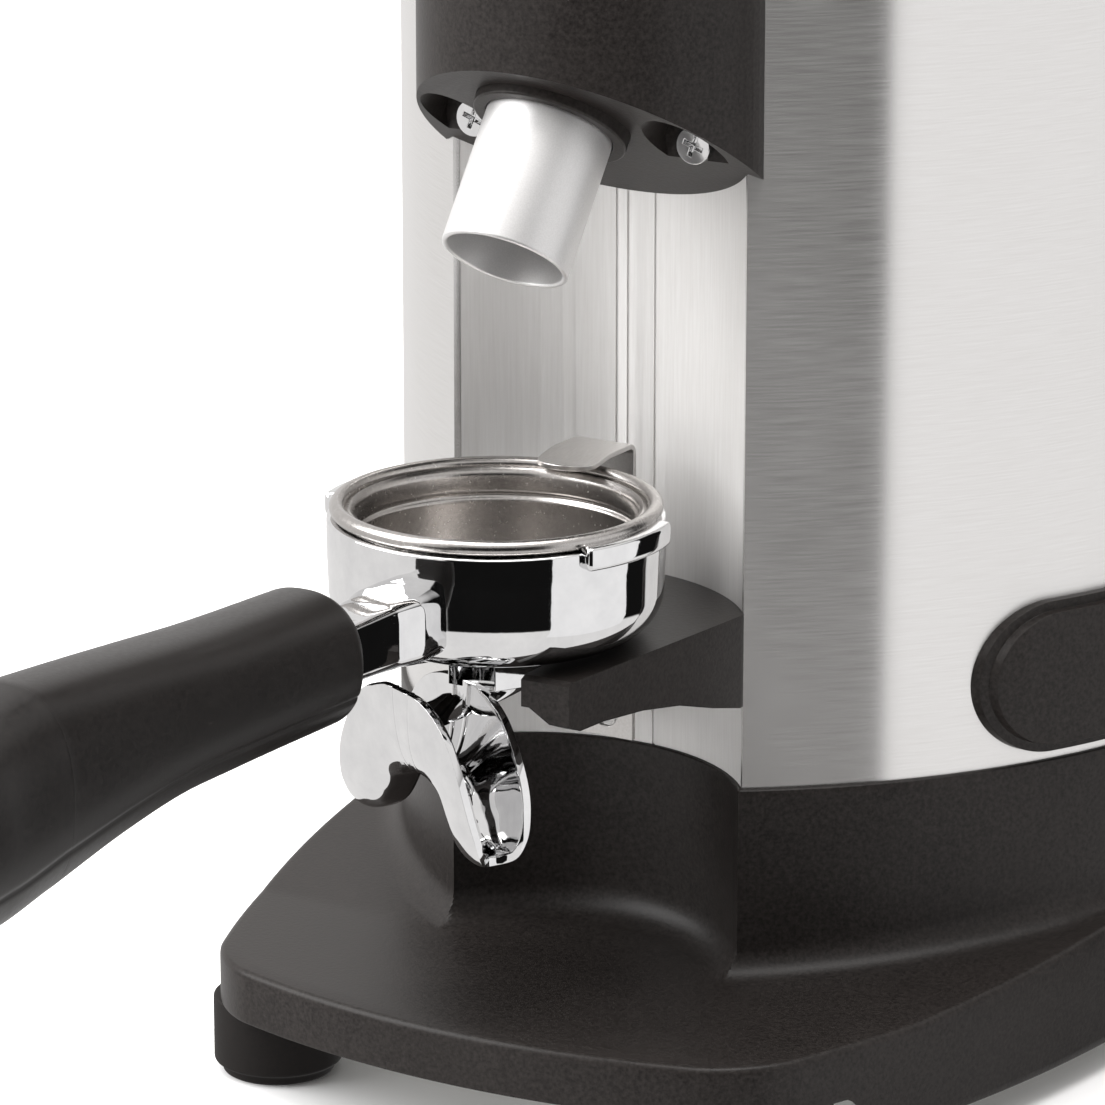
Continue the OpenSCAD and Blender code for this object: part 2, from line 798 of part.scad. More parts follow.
module lock_knob() {
  color(GRIP_BLACK) at_axis() rotate([0, 0, -35]) translate([lock_at, 0, cap_top + 1]) difference() {
    union() {
      cylinder(r = 8, h = 11);
      translate([0, 0, -10]) cylinder(r = 2.5, h = 12);
    }
    for (a = [0:45:315]) rotate([0, 0, a]) translate([8.6, 0, 2]) cylinder(r = 1.5, h = 20);
  }
}

// ---- top housing and controls ----

module above_face(lift) {
  at_face() translate([-100, -100, lift]) cube([200, 200, 200]);
}

module top_housing() {
  color(ABS_BLACK) difference() {
    union() {
      at_axis() translate([0, 0, cap_z]) linear_extrude(cap_t - 2) body_outline(-proud);
      at_axis() translate([0, 0, cap_z]) linear_extrude(cap_t) body_outline(1);
      at_axis() translate([0, 0, head_top]) linear_extrude(cap_top - head_top) head_plan(0);
      at_axis() translate([0, 0, cap_z]) linear_extrude(cap_t) translate([0, -head_y]) circle(r = head_r);
    }
    above_face(0);
    at_axis() difference() {
      translate([0, 0, cap_z - cut]) linear_extrude(cap_t - 3) body_outline(2.5);
      translate([-60, -140, 0]) cube([120, 70, 500]);
    }
    at_axis() translate([0, 0, cap_z - cut]) cylinder(r = 50, h = 100);
    at_axis() rotate([0, 0, -35]) translate([lock_at, 0, cap_z]) cylinder(r = 2.5 + gap, h = 50);
    at_face() translate([-panel_w / 2 - fit, -panel_h / 2 - fit, -panel_t + 0.5])
      cube([panel_w + 2 * fit, panel_h + 2 * fit, 10]);
    at_face() translate([-panel_w / 2 + 4, button_y - button_r - 2 * gap, -9])
      cube([panel_w - 8, panel_h / 2 - 3 - button_y + button_r + 2 * gap, 12]);
  }
}

module control_panel() {
  color(SATIN) at_face() difference() {
    translate([-panel_w / 2, -panel_h / 2, -panel_t + 0.5]) cube([panel_w, panel_h, panel_t]);
    translate([-15, -0.5, -5]) cube([30, 12, 10]);
    for (x = [-1, 0, 1]) translate([x * button_x, button_y, -5]) cylinder(r = button_r + gap, h = 10);
  }
}

module display_window() {
  color([0.05, 0.06, 0.08]) at_face() translate([-15 + fit, -0.5 + fit, -1.6])
    cube([30 - 2 * fit, 12 - 2 * fit, 2.4]);
}

module dose_button(i) {
  color(GRIP_BLACK) at_face() translate([i * button_x, button_y, -4]) union() {
    cylinder(r = button_r, h = 4 + 0.5 + button_up - 0.8);
    translate([0, 0, 4 + 0.5 + button_up - 0.8]) cylinder(r1 = button_r, r2 = button_r - 0.8, h = 0.8);
  }
}
module button_single() { dose_button(-1); }
module button_double() { dose_button(0); }
module button_manual() { dose_button(1); }

// ---- hopper ----

module hopper() {
  w = neck_wall;
  color(CLEAR) at_axis() difference() {
    rotate_extrude() polygon([[neck_r - w, neck_z + fit], [neck_r, neck_z + fit], [neck_r, cone_z0],
      [hopper_r - 3, cone_z1], [hopper_r, hopper_top], [hopper_r - w, hopper_top],
      [hopper_r - 3 - w, cone_z1 + 1.2], [neck_r - w, cone_z0 + 1.2]]);
    translate([-neck_r - 5, 0, gate_z]) cube([2 * neck_r + 10, 60, gate_t + 0.8]);
  }
}

module hopper_gate() {
  r = neck_r - neck_wall - gap;
  color(GRIP_BLACK) at_axis() translate([0, 0, gate_z + 0.4]) {
    linear_extrude(gate_t) union() {
      circle(r = r);
      translate([-r, 0]) square([2 * r, 48]);
    }
    translate([-r, 48 - 4, 0]) cube([2 * r, 4, gate_t + 6]);
  }
}

module hopper_lid() {
  z = hopper_top + fit;
  color(GRIP_BLACK) at_axis() rotate_extrude() polygon([[0, z], [hopper_r - 4, z], [hopper_r - 4, z - 6],
    [hopper_r - 2.5 - 0.4, z - 6], [hopper_r - 2.5 - 0.4, z], [hopper_r + 2, z], [hopper_r + 2, z + 3],
    [hopper_r - 2, z + lid_t], [14, z + lid_t + 2], [12, z + lid_t + 12], [0, z + lid_t + 13]]);
}

// ---- filter holder ----

module holder_bowl() {
  z = bowl_z;
  color(CHROME) at_holder() difference() {
    union() {
      rotate_extrude() difference() {
        union() {
          translate([0, z]) square([bowl_r - 9.5, wall_top - z]);
          translate([0, z + 9.5]) square([bowl_r, wall_top - z - 9.5]);
          translate([bowl_r - 9.5, z + 9.5]) circle(r = 9.5);
        }
        translate([-50, 0]) square([50, 300]);
      }
      for (a = [0, 180]) rotate([0, 0, a - 29]) rotate_extrude(angle = 44)
        translate([bowl_r - 0.3, wall_top - lug_t + 1.6]) square([lug_out + 0.3, lug_t]);
      translate([0, 0, fork_z - 9]) cylinder(r = 8, h = 12);
    }
    translate([0, 0, z + 3.5]) cylinder(r = bowl_r - 3.9, h = 60);
    translate([0, 0, 0]) cylinder(r = 4, h = 200);
  }
}

module filter_basket() {
  fz = rim_z - 24;
  color(STEEL) at_holder() rotate_extrude() union() {
    translate([bead_at, rim_z - bead_r]) circle(r = bead_r);
    translate([basket_in, rim_z - 1.2]) square([bead_at - basket_in, 1.2]);
    translate([basket_in, fz]) square([basket_t, rim_z - fz]);
    translate([0, fz]) square([basket_in + 0.4, basket_t]);
    difference() {
      translate([basket_in + 0.3, rim_z - 7.5]) circle(r = 0.9);
      translate([basket_in + basket_t, 0]) square([20, 300]);
    }
  }
}

module basket_spring() {
  color(STEEL) at_holder() rotate_extrude()
    translate([basket_in + basket_t + 0.65, rim_z - 11]) circle(r = 0.55);
}

module holder_neck() {
  color(CHROME) at_axis() difference() {
    union() {
      translate([-6.5, -handle_from + fit, handle_z - 7.5]) cube([13, handle_from - holder_y - bowl_r + 7.5, 12]);
      translate([-9, -holder_y - bowl_r - 5, handle_z - 9]) cube([18, 14, 15]);
      bar_y(0, handle_z, 5, -handle_from - 30, -handle_from + 2);
    }
    translate([0, -holder_y, 0]) cylinder(r = bowl_r, h = 300);
  }
}

// a thin oval slice of the grip: place along the handle, height of its centre, half width, half height
module slice(y, z, a, b) {
  translate([0, -y, z]) rotate([90, 0, 0]) scale([a, b, 1]) cylinder(r = 1, h = 0.6, $fn = 32);
}

module holder_grip() {
  y = handle_from;
  z = handle_z;
  color(GRIP_BLACK) at_axis() difference() {
    union() {
      hull() {
        slice(y, z, 12, 12.2);
        slice(y + 3, z + 0.1, 14, 14.2);
      }
      hull() {
        slice(y + 3, z + 0.1, 14, 14.2);
        slice(y + 39, z + 1.2, 14.2, 14.8);
      }
      hull() {
        slice(y + 39, z + 1.2, 14.2, 14.8);
        slice(y + 58, z + 1.9, 14.4, 15.6);
      }
      hull() {
        slice(y + 58, z + 1.9, 14.4, 15.6);
        slice(y + 76, z + 1.6, 14.6, 17.4);
      }
      hull() {
        slice(y + 76, z + 1.6, 14.6, 17.4);
        slice(cap_from, z + 0.3, 15, 20.6);
      }
    }
    bar_y(0, handle_z, 5 + fit, -y - 31, -y + 10);
  }
}

module grip_cap() {
  y = cap_from + 0.8;
  z = handle_z;
  color(GRIP_BLACK) at_axis() union() {
    hull() {
      slice(y, z + 0.3, 15, 20.6);
      slice(y + 18, z - 2.4, 15, 20.6);
    }
    hull() {
      slice(y + 18, z - 2.4, 15, 20.6);
      slice(handle_end - 13, z - 5.5, 13.5, 16.5);
    }
    hull() {
      slice(handle_end - 13, z - 5.5, 13.5, 16.5);
      slice(handle_end - 4, z - 7.5, 9.5, 11.5);
      slice(handle_end - 0.6, z - 8, 4, 6);
    }
  }
}

module spout_nut() {
  color(CHROME) at_holder() difference() {
    translate([0, 0, fork_z - 8.9]) cylinder(r = 11.5, h = 7.4, $fn = 6);
    translate([0, 0, 50]) cylinder(r = 8 + fit, h = 100);
  }
}

// one run of the twin gutter: the bend over the top and the two straight legs
module gutter(r, extra) {
  translate([0, -spout_y, spout_z + spout_leg]) rotate([90, 0, 0]) rotate_extrude(angle = 180)
    translate([spout_bend, 0]) circle(r = r);
  for (x = [-spout_bend, spout_bend]) translate([x, -spout_y, spout_z - extra])
    cylinder(r = r, h = spout_leg + extra + 0.01);
}

module twin_spout() {
  top = fork_z - 9;
  crown = spout_z + spout_leg + spout_bend;
  slot = spout_r - 2.6;
  color(CHROME) at_holder() rotate([0, 0, -spout_turn]) difference() {
    union() {
      gutter(spout_r, 0);
      translate([-8, -spout_y, crown - 6]) cube([16, spout_y, top - fit - crown + 6]);
      translate([0, 0, crown - 6]) cylinder(r = 9, h = top - fit - crown + 6);
    }
    gutter(spout_r - spout_t, cut);
    translate([0, -spout_y, spout_z + spout_leg]) rotate([90, 0, 0]) rotate_extrude(angle = 180)
      translate([spout_bend, -slot]) square([spout_r + 2, 2 * slot]);
    for (m = [0, 1]) mirror([m, 0, 0]) translate([spout_bend, -spout_y - slot, spout_z - cut])
      cube([spout_r + 2, 2 * slot, spout_leg + cut + 0.01]);
    translate([0, 0, crown]) cylinder(r = 5, h = 60);
    translate([-5, -spout_y, crown - 2]) cube([10, spout_y, 5]);
  }
}

base_housing();
bottom_plate();
feet();
foot_screws();
body_shell();
front_panel();
switch_plate();
power_rocker();
cable_gland();
fork();
fork_screws();
spring_clip();
clip_screw();
chute_cover();
cover_screws();
spout_collar();
spout_tube();
chute_duct();
motor_deck();
columns();
motor_can();
stator();
rotor_shaft();
lower_bearing();
upper_bearing();
capacitor();
control_board();
grinding_chamber();
burr_carrier();
lower_burr();
lower_burr_screws();
adjuster_body();
upper_burr();
upper_burr_screws();
adjustment_collar();
lock_knob();
top_housing();
control_panel();
display_window();
button_single();
button_double();
button_manual();
hopper();
hopper_gate();
hopper_lid();
holder_bowl();
filter_basket();
basket_spring();
holder_neck();
holder_grip();
grip_cap();
spout_nut();
twin_spout();
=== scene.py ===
import math
import bmesh
import bpy
import numpy as np
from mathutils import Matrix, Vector


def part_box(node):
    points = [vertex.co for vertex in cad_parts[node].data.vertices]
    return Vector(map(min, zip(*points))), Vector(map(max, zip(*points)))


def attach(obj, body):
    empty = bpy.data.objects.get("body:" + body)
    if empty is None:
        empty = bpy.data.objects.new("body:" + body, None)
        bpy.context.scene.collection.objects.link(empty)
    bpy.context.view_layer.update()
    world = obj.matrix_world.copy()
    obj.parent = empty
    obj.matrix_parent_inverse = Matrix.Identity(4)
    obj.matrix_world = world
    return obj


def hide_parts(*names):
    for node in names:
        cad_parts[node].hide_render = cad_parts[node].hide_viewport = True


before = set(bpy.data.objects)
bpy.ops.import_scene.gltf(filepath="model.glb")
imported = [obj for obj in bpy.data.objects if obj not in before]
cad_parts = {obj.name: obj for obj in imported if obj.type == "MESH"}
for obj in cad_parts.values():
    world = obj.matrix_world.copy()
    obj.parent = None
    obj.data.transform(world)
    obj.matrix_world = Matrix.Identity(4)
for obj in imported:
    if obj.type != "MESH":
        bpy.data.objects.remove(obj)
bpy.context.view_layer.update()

MM = 0.001

# ---------------- places read from the frame, in millimetres


def corners(node):
    """Lowest and highest corner of a node in millimetres."""
    low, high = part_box(node)
    return np.array(low) / MM, np.array(high) / MM


HOPPER_LO, HOPPER_HI = corners("hopper")
BASKET_LO, BASKET_HI = corners("filter_basket")
BOWL_LO, BOWL_HI = corners("holder_bowl")
BASE_LO, BASE_HI = corners("base_housing")
SHELL_LO, SHELL_HI = corners("body_shell")
TUBE_LO, TUBE_HI = corners("spout_tube")
GRIP_LO, GRIP_HI = corners("holder_grip")
CAP_LO, CAP_HI = corners("grip_cap")
SPOUT_LO, SPOUT_HI = corners("twin_spout")
FEET_HI = corners("feet")[1]
SCREW_LO, SCREW_HI = corners("foot_screws")

BURR_Y = (HOPPER_LO[1] + HOPPER_HI[1]) / 2  # the burr axis stands here
HOLDER_Y = BURR_Y - (BASKET_LO[1] + BASKET_HI[1]) / 2  # the filter holder's axis, in front of it
RIM_Z = BASKET_HI[2]
RISER_Z = SHELL_LO[2]

# ---------------- camera and studio

scene = bpy.context.scene
scene.view_settings.view_transform = "Standard"
scene.view_settings.look = "None"

CAMERA_TURN = math.radians(31.25)
CAMERA_DIP = math.radians(16.0)
CAMERA_AWAY = 1242.2
TARGET = np.array([15.85, BURR_Y - 134.5, 132.3])
back = np.array([
    math.sin(CAMERA_TURN) * math.cos(CAMERA_DIP),
    -math.cos(CAMERA_TURN) * math.cos(CAMERA_DIP),
    math.sin(CAMERA_DIP),
])
camera = bpy.data.objects.new("camera", bpy.data.cameras.new("camera"))
camera.data.lens = 195.5
camera.data.sensor_width = 36
camera.data.clip_end = 20
camera.location = Vector((TARGET + back * CAMERA_AWAY) * MM)
camera.rotation_euler = Vector(back).to_track_quat("Z", "Y").to_euler()
scene.collection.objects.link(camera)
scene.camera = camera


def linear(code):
    """An sRGB hex colour as a linear RGBA tuple."""
    values = [int(code[i:i + 2], 16) / 255 for i in (1, 3, 5)]
    return tuple(v / 12.92 if v <= 0.04045 else ((v + 0.055) / 1.055) ** 2.4 for v in values) + (1.0,)


def add(tree, kind, ins=None, **settings):
    """Adds a node. Settings are the node's own; ins are its inputs, linked when given a socket."""
    made = tree.nodes.new(kind)
    for key, value in settings.items():
        setattr(made, key, value)
    for key, value in (ins or {}).items():
        if isinstance(value, bpy.types.NodeSocket):
            tree.links.new(value, made.inputs[key])
        else:
            made.inputs[key].default_value = value
    return made


# The studio: a white room with a bright ceiling and one dark gap in front and to the right, which is
# what polished metal shows as its black band. Heights here are sines of the angle above level.
GAP_FROM, GAP_TO = math.radians(-3), math.radians(160)
GAP_FROM_BLUR, GAP_TO_BLUR = 0.03, 0.1
GAP_FOOT, GAP_HEAD = (-0.41, -0.38), (0.42, 0.6)
CEILING_EDGE = (0.9, 0.94)
GAP_LEVEL, WALL_LEVEL, CEILING_LEVEL = 0.008, 0.88, 7.0
ROOM_COLOUR = (1.0, 0.985, 0.975, 1)
world = bpy.data.worlds.new("studio")
scene.world = world
world.use_nodes = True
sky = world.node_tree
sky.nodes.clear()
way = add(sky, "ShaderNodeSeparateXYZ", {0: add(sky, "ShaderNodeTexCoord").outputs["Generated"]})
ahead = add(sky, "ShaderNodeMath", {0: way.outputs["Y"], 1: -1.0}, operation="MULTIPLY")
turn = add(sky, "ShaderNodeMath", {0: way.outputs["X"], 1: ahead.outputs[0]}, operation="ARCTAN2")
gap_left = add(sky, "ShaderNodeMapRange", {
    0: turn.outputs[0], 1: GAP_FROM - GAP_FROM_BLUR, 2: GAP_FROM + GAP_FROM_BLUR, 3: 0.0, 4: 1.0})
gap_right = add(sky, "ShaderNodeMapRange", {
    0: turn.outputs[0], 1: GAP_TO - GAP_TO_BLUR, 2: GAP_TO + GAP_TO_BLUR, 3: 1.0, 4: 0.0})
above = add(sky, "ShaderNodeMapRange", {
    0: way.outputs["Z"], 1: GAP_FOOT[0], 2: GAP_FOOT[1], 3: 0.0, 4: 1.0})
below = add(sky, "ShaderNodeMapRange", {
    0: way.outputs["Z"], 1: GAP_HEAD[0], 2: GAP_HEAD[1], 3: 1.0, 4: 0.0})
gap_a = add(sky, "ShaderNodeMath", {0: gap_left.outputs[0], 1: gap_right.outputs[0]}, operation="MULTIPLY")
gap_b = add(sky, "ShaderNodeMath", {0: above.outputs[0], 1: below.outputs[0]}, operation="MULTIPLY")
gap = add(sky, "ShaderNodeMath", {0: gap_a.outputs[0], 1: gap_b.outputs[0]}, operation="MULTIPLY")
ceiling = add(sky, "ShaderNodeMapRange", {
    0: way.outputs["Z"], 1: CEILING_EDGE[0], 2: CEILING_EDGE[1], 3: WALL_LEVEL, 4: CEILING_LEVEL})
lit = add(sky, "ShaderNodeMapRange", {0: gap.outputs[0], 1: 0.0, 2: 1.0, 3: 1.0, 4: GAP_LEVEL})
level = add(sky, "ShaderNodeMath", {0: ceiling.outputs[0], 1: lit.outputs[0]}, operation="MULTIPLY")
room = add(sky, "ShaderNodeBackground", {"Color": ROOM_COLOUR, "Strength": level.outputs[0]})
plain = add(sky, "ShaderNodeBackground", {"Color": (1, 1, 1, 1), "Strength": 1.0})
seen = add(sky, "ShaderNodeLightPath")
both = add(sky, "ShaderNodeMixShader", {
    0: seen.outputs["Is Camera Ray"], 1: room.outputs[0], 2: plain.outputs[0]})
add(sky, "ShaderNodeOutputWorld", {0: both.outputs[0]})


def stage_sheet(name, points, colour, glow=0.0):
    """A flat four-cornered sheet of the studio, points in millimetres."""
    mesh = bpy.data.meshes.new(name)
    mesh.from_pydata([tuple(np.array(p) * MM) for p in points], [], [(0, 1, 2, 3)])
    sheet = bpy.data.objects.new(name, mesh)
    scene.collection.objects.link(sheet)
    paint = bpy.data.materials.new(name)
    paint.use_nodes = True
    bsdf = paint.node_tree.nodes["Principled BSDF"]
    bsdf.inputs["Base Color"].default_value = linear(colour)
    bsdf.inputs["Roughness"].default_value = 0.9
    bsdf.inputs["Specular IOR Level"].default_value = 0.0
    if glow:
        bsdf.inputs["Base Color"].default_value = (0, 0, 0, 1)
        bsdf.inputs["Emission Color"].default_value = linear(colour)
        bsdf.inputs["Emission Strength"].default_value = glow
    mesh.materials.append(paint)
    return sheet


FLOOR = 4000
floor = stage_sheet("pale_floor", [
    (-FLOOR, -FLOOR, 0), (FLOOR, -FLOOR, 0), (FLOOR, FLOOR, 0), (-FLOOR, FLOOR, 0)], "#FAFAFA")
# the floor stays out of reflections, so that the metal shows only the room
floor.visible_glossy = False
# a large lit card far to the right: its near edge draws the sharp line between dark and bright steel
CARD_NEAR, CARD_FAR, CARD_HALF = (1330, BURR_Y - 640), (1420, BURR_Y + 1100), 900
card = stage_sheet("side_card", [
    (*CARD_NEAR, -CARD_HALF), (*CARD_FAR, -CARD_HALF), (*CARD_FAR, CARD_HALF), (*CARD_NEAR, CARD_HALF)],
    "#FFFEFE", 1.0)
card.visible_camera = False
card.visible_diffuse = False
# the main light: a large soft box high on the left
KEY_FROM, KEY_AT = (-950, BURR_Y - 750, 1000), (0, BURR_Y - 60, 150)
key = bpy.data.objects.new("soft_box", bpy.data.lights.new("soft_box", "AREA"))
key.data.size = 1.2
key.data.energy = 26
key.location = Vector(KEY_FROM) * MM
key.rotation_euler = (key.location - Vector(KEY_AT) * MM).to_track_quat("Z", "Y").to_euler()
scene.collection.objects.link(key)

# ---------------- materials


def new_material(name):
    """A material with an empty tree, its shader and its object coordinates."""
    made = bpy.data.materials.new(name)
    made.use_nodes = True
    tree = made.node_tree
    tree.nodes.clear()
    shader = add(tree, "ShaderNodeBsdfPrincipled")
    add(tree, "ShaderNodeOutputMaterial", {0: shader.outputs[0]})
    place = add(tree, "ShaderNodeTexCoord").outputs["Object"]
    return made, tree, shader, place


# the slow noise under every finish: its size in millimetres, and its share of the whole
BROAD_GRAIN, BROAD_SHARE = 25.0, 0.3
# the radius at which grain that runs round the body keeps its size
WRAP_R = 95.0


def finish(name, dark, light, grain, rough, metal=0.0, bump=0.0, depth=0.02, stretch=(1, 1, 1),
           round_grain=False, **sockets):
    """One finish. Colour runs from dark to light with a noise of the grain's size in millimetres, with a
    second, broad noise under it; roughness runs between two values and the same noise stands as relief.
    stretch scales the pattern along each axis; round_grain lays it round the vertical burr axis."""
    made, tree, shader, place = new_material(name)
    where = place
    if round_grain:
        # angle round the axis times a fixed radius, then the height: brushing runs round the body
        moved = add(tree, "ShaderNodeMapping", {"Vector": place, "Location": (0, -BURR_Y * MM, 0)})
        xyz = add(tree, "ShaderNodeSeparateXYZ", {0: moved.outputs[0]})
        facing = add(tree, "ShaderNodeMath", {0: xyz.outputs["Y"], 1: -1.0}, operation="MULTIPLY")
        angle = add(tree, "ShaderNodeMath", {0: xyz.outputs["X"], 1: facing.outputs[0]},
                    operation="ARCTAN2")
        along = add(tree, "ShaderNodeMath", {0: angle.outputs[0], 1: WRAP_R * MM}, operation="MULTIPLY")
        where = add(tree, "ShaderNodeCombineXYZ", {0: along.outputs[0], 2: xyz.outputs["Z"]}).outputs[0]
    scaled = add(tree, "ShaderNodeMapping", {"Vector": where, "Scale": stretch})
    fine = add(tree, "ShaderNodeTexNoise", {
        "Vector": scaled.outputs[0], "Scale": 1 / (grain * MM), "Detail": 3.0, "Roughness": 0.6})
    wide = add(tree, "ShaderNodeTexNoise", {
        "Vector": place, "Scale": 1 / (BROAD_GRAIN * MM), "Detail": 2.0})
    spread = add(tree, "ShaderNodeMapRange", {0: fine.outputs[0], 1: 0.25, 2: 0.75, 3: 0.0, 4: 1.0})
    blend = add(tree, "ShaderNodeMath", {0: wide.outputs[0], 1: BROAD_SHARE}, operation="MULTIPLY")
    total = add(tree, "ShaderNodeMath", {0: spread.outputs[0], 1: 1 - BROAD_SHARE}, operation="MULTIPLY")
    factor = add(tree, "ShaderNodeMath", {0: total.outputs[0], 1: blend.outputs[0]}, operation="ADD")
    # the colour sockets of a Mix node are its seventh and eighth
    colour = add(tree, "ShaderNodeMix", {"Factor": factor.outputs[0], 6: linear(dark), 7: linear(light)},
                 data_type="RGBA")
    tree.links.new(colour.outputs[2], shader.inputs["Base Color"])
    gloss = add(tree, "ShaderNodeMapRange", {
        0: factor.outputs[0], 1: 0.0, 2: 1.0, 3: rough[0], 4: rough[1]})
    tree.links.new(gloss.outputs[0], shader.inputs["Roughness"])
    if bump:
        relief = add(tree, "ShaderNodeBump", {
            "Strength": bump, "Distance": depth * MM, "Height": fine.outputs[0]})
        tree.links.new(relief.outputs[0], shader.inputs["Normal"])
    shader.inputs["Metallic"].default_value = metal
    if round_grain:
        lines = add(tree, "ShaderNodeTangent", direction_type="RADIAL", axis="Z")
        tree.links.new(lines.outputs[0], shader.inputs["Tangent"])
    for key, value in sockets.items():
        shader.inputs[key.replace("_", " ")].default_value = value
    return made


# Moulded ABS with a spark-eroded texture: a pebble that breaks reflections into a soft grey sheen. It is
# drawn at 0.9 mm, coarser than the real one, so that it shows. The brushed and blasted grains below are
# drawn coarser too, for the same reason.
TEXTURED_ABS = finish("black_textured_abs", "#0E0B0A", "#332F2D", 0.9, (0.32, 0.44), bump=0.35, depth=0.12,
                      IOR=1.54, Specular_IOR_Level=0.17)
# Compression-moulded phenolic: smoother than the ABS, with a slow wave in its gloss.
GRIP_PHENOLIC = finish("black_moulded_grip", "#100D0C", "#1F1B19", 1.1, (0.3, 0.42), bump=0.2, depth=0.08,
                       IOR=1.6, Specular_IOR_Level=0.3)
# Moulded rubber: dull, slightly dusty.
RUBBER = finish("moulded_rubber", "#0F0C0B", "#1E1A18", 0.8, (0.6, 0.75), bump=0.3, depth=0.08, IOR=1.52,
                Specular_IOR_Level=0.2)
# Stainless sheet, belt-brushed round the body: fine level lines that spread a reflection up and down.
BRUSHED_STEEL = finish("brushed_stainless_wrap", "#DDDBD9", "#EBEAE9", 0.4, (0.2, 0.28), metal=1.0,
                       bump=0.03, depth=0.02, stretch=(0.03, 1, 1), round_grain=True, Anisotropic=1.0,
                       Anisotropic_Rotation=0.25)
# The same sheet pressed for the hollow front, brushed upright and duller.
SATIN_PANEL = finish("upright_satin_stainless", "#DAD8D6", "#E8E7E6", 0.6, (0.5, 0.6), metal=0.5, bump=0.05,
                     depth=0.02, stretch=(1, 1, 0.04))
# Chromium plate over cast brass: near mirror, with a slow casting wave and hairline wear.
CHROME = finish("chromed_brass", "#D9D9DA", "#ECECEC", 6.0, (0.02, 0.06), metal=1.0, bump=0.06, depth=0.25)
# Drawn stainless of the basket: polished rim with fine turning marks.
BASKET_STEEL = finish("drawn_stainless", "#ABA7A4", "#C2BFBC", 0.9, (0.2, 0.3), metal=1.0,
                      bump=0.08, depth=0.02)
# Bead-blasted and clear anodised aluminium tube.
SATIN_ALUMINIUM = finish("satin_anodised_aluminium", "#D6D5D4", "#EBEAEA", 0.3, (0.36, 0.46), metal=0.85,
                         bump=0.15, depth=0.02)
# Tempered strip for the clip, with a drawn grain along its length.
SPRING_STEEL = finish("tempered_spring_steel", "#C2BFBC", "#D6D4D2", 0.5, (0.26, 0.36), metal=1.0, bump=0.1,
                      depth=0.02, stretch=(1, 0.2, 1))
# Zinc plated screws and plates.
ZINC_PLATE = finish("zinc_plated_steel", "#A9A9A6", "#C9C9C7", 0.5, (0.22, 0.36), metal=1.0,
                    bump=0.1, depth=0.02)
# Die-cast aluminium with its dull cast skin.
CAST_ALUMINIUM = finish("die_cast_aluminium", "#8B8C8D", "#A9AAAB", 0.9, (0.45, 0.6), metal=1.0,
                        bump=0.4, depth=0.08)
# Enamelled copper wire, wound side by side: thin level ridges.
WINDINGS = finish("enamelled_copper_windings", "#8A4A22", "#C07A45", 0.9, (0.25, 0.4), metal=1.0, bump=0.8,
                  depth=0.3, stretch=(0.05, 0.05, 1))
# Glass-fibre circuit board under green lacquer.
BOARD = finish("lacquered_circuit_board", "#0E3A22", "#1C5A36", 0.8, (0.25, 0.4), bump=0.2,
               depth=0.05, IOR=1.55)
# Hardened tool steel, ground on its faces.
GROUND_STEEL = finish("ground_tool_steel", "#8E8E90", "#B4B4B6", 0.4, (0.2, 0.34), metal=1.0,
                      bump=0.2, depth=0.03)
# Display window: smoked acrylic, almost black and glossy.
SMOKED_ACRYLIC = finish("smoked_acrylic", "#08090C", "#101319", 3.0, (0.05, 0.1), bump=0.02,
                        depth=0.02, IOR=1.49)


def clear_plastic(name):
    """Injection-moulded clear plastic: light passes, with a faint smoke and a soft rippled gloss."""
    made, tree, shader, place = new_material(name)
    ripple = add(tree, "ShaderNodeTexNoise", {"Vector": place, "Scale": 1 / (9 * MM), "Detail": 2.0})
    gloss = add(tree, "ShaderNodeMapRange", {0: ripple.outputs[0], 3: 0.03, 4: 0.1})
    tint = add(tree, "ShaderNodeMix", {
        "Factor": ripple.outputs[0], 6: linear("#D8DCDF"), 7: linear("#E9ECEE")}, data_type="RGBA")
    relief = add(tree, "ShaderNodeBump", {
        "Strength": 0.05, "Distance": 0.2 * MM, "Height": ripple.outputs[0]})
    tree.links.new(tint.outputs[2], shader.inputs["Base Color"])
    tree.links.new(gloss.outputs[0], shader.inputs["Roughness"])
    tree.links.new(relief.outputs[0], shader.inputs["Normal"])
    shader.inputs["IOR"].default_value = 1.585
    shader.inputs["Transmission Weight"].default_value = 0.92
    return made


CLEAR_PLASTIC = clear_plastic("clear_polycarbonate")

# ---------------- making pieces


def put(name, mesh, body, material, nodes, crease=35):
    """Finishes a piece: one closed skin facing out, smooth but for creases, riding on its body."""
    work = bmesh.new()
    work.from_mesh(mesh)
    bmesh.ops.remove_doubles(work, verts=work.verts, dist=1e-6)
    bmesh.ops.recalc_face_normals(work, faces=work.faces)
    work.to_mesh(mesh)
    work.free()
    mesh.shade_smooth()
    mesh.set_sharp_from_angle(angle=math.radians(crease))
    mesh.materials.clear()
    mesh.materials.append(material)
    piece = bpy.data.objects.new(name, mesh)
    scene.collection.objects.link(piece)
    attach(piece, body)
    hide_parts(*nodes)
    return piece


def quads(rows, columns, close_rows, close_columns, start=0):
    """Corner numbers of the faces of a grid of points."""
    number = start + np.arange(rows * columns).reshape(rows, columns)
    a = number if close_rows else number[:-1]
    b = np.roll(number, -1, 0) if close_rows else number[1:]
    if close_columns:
        c, d = np.roll(b, -1, 1), np.roll(a, -1, 1)
    else:
        a, b, c, d = a[:, :-1], b[:, :-1], b[:, 1:], a[:, 1:]
    return np.stack([a, b, c, d], -1).reshape(-1, 4)


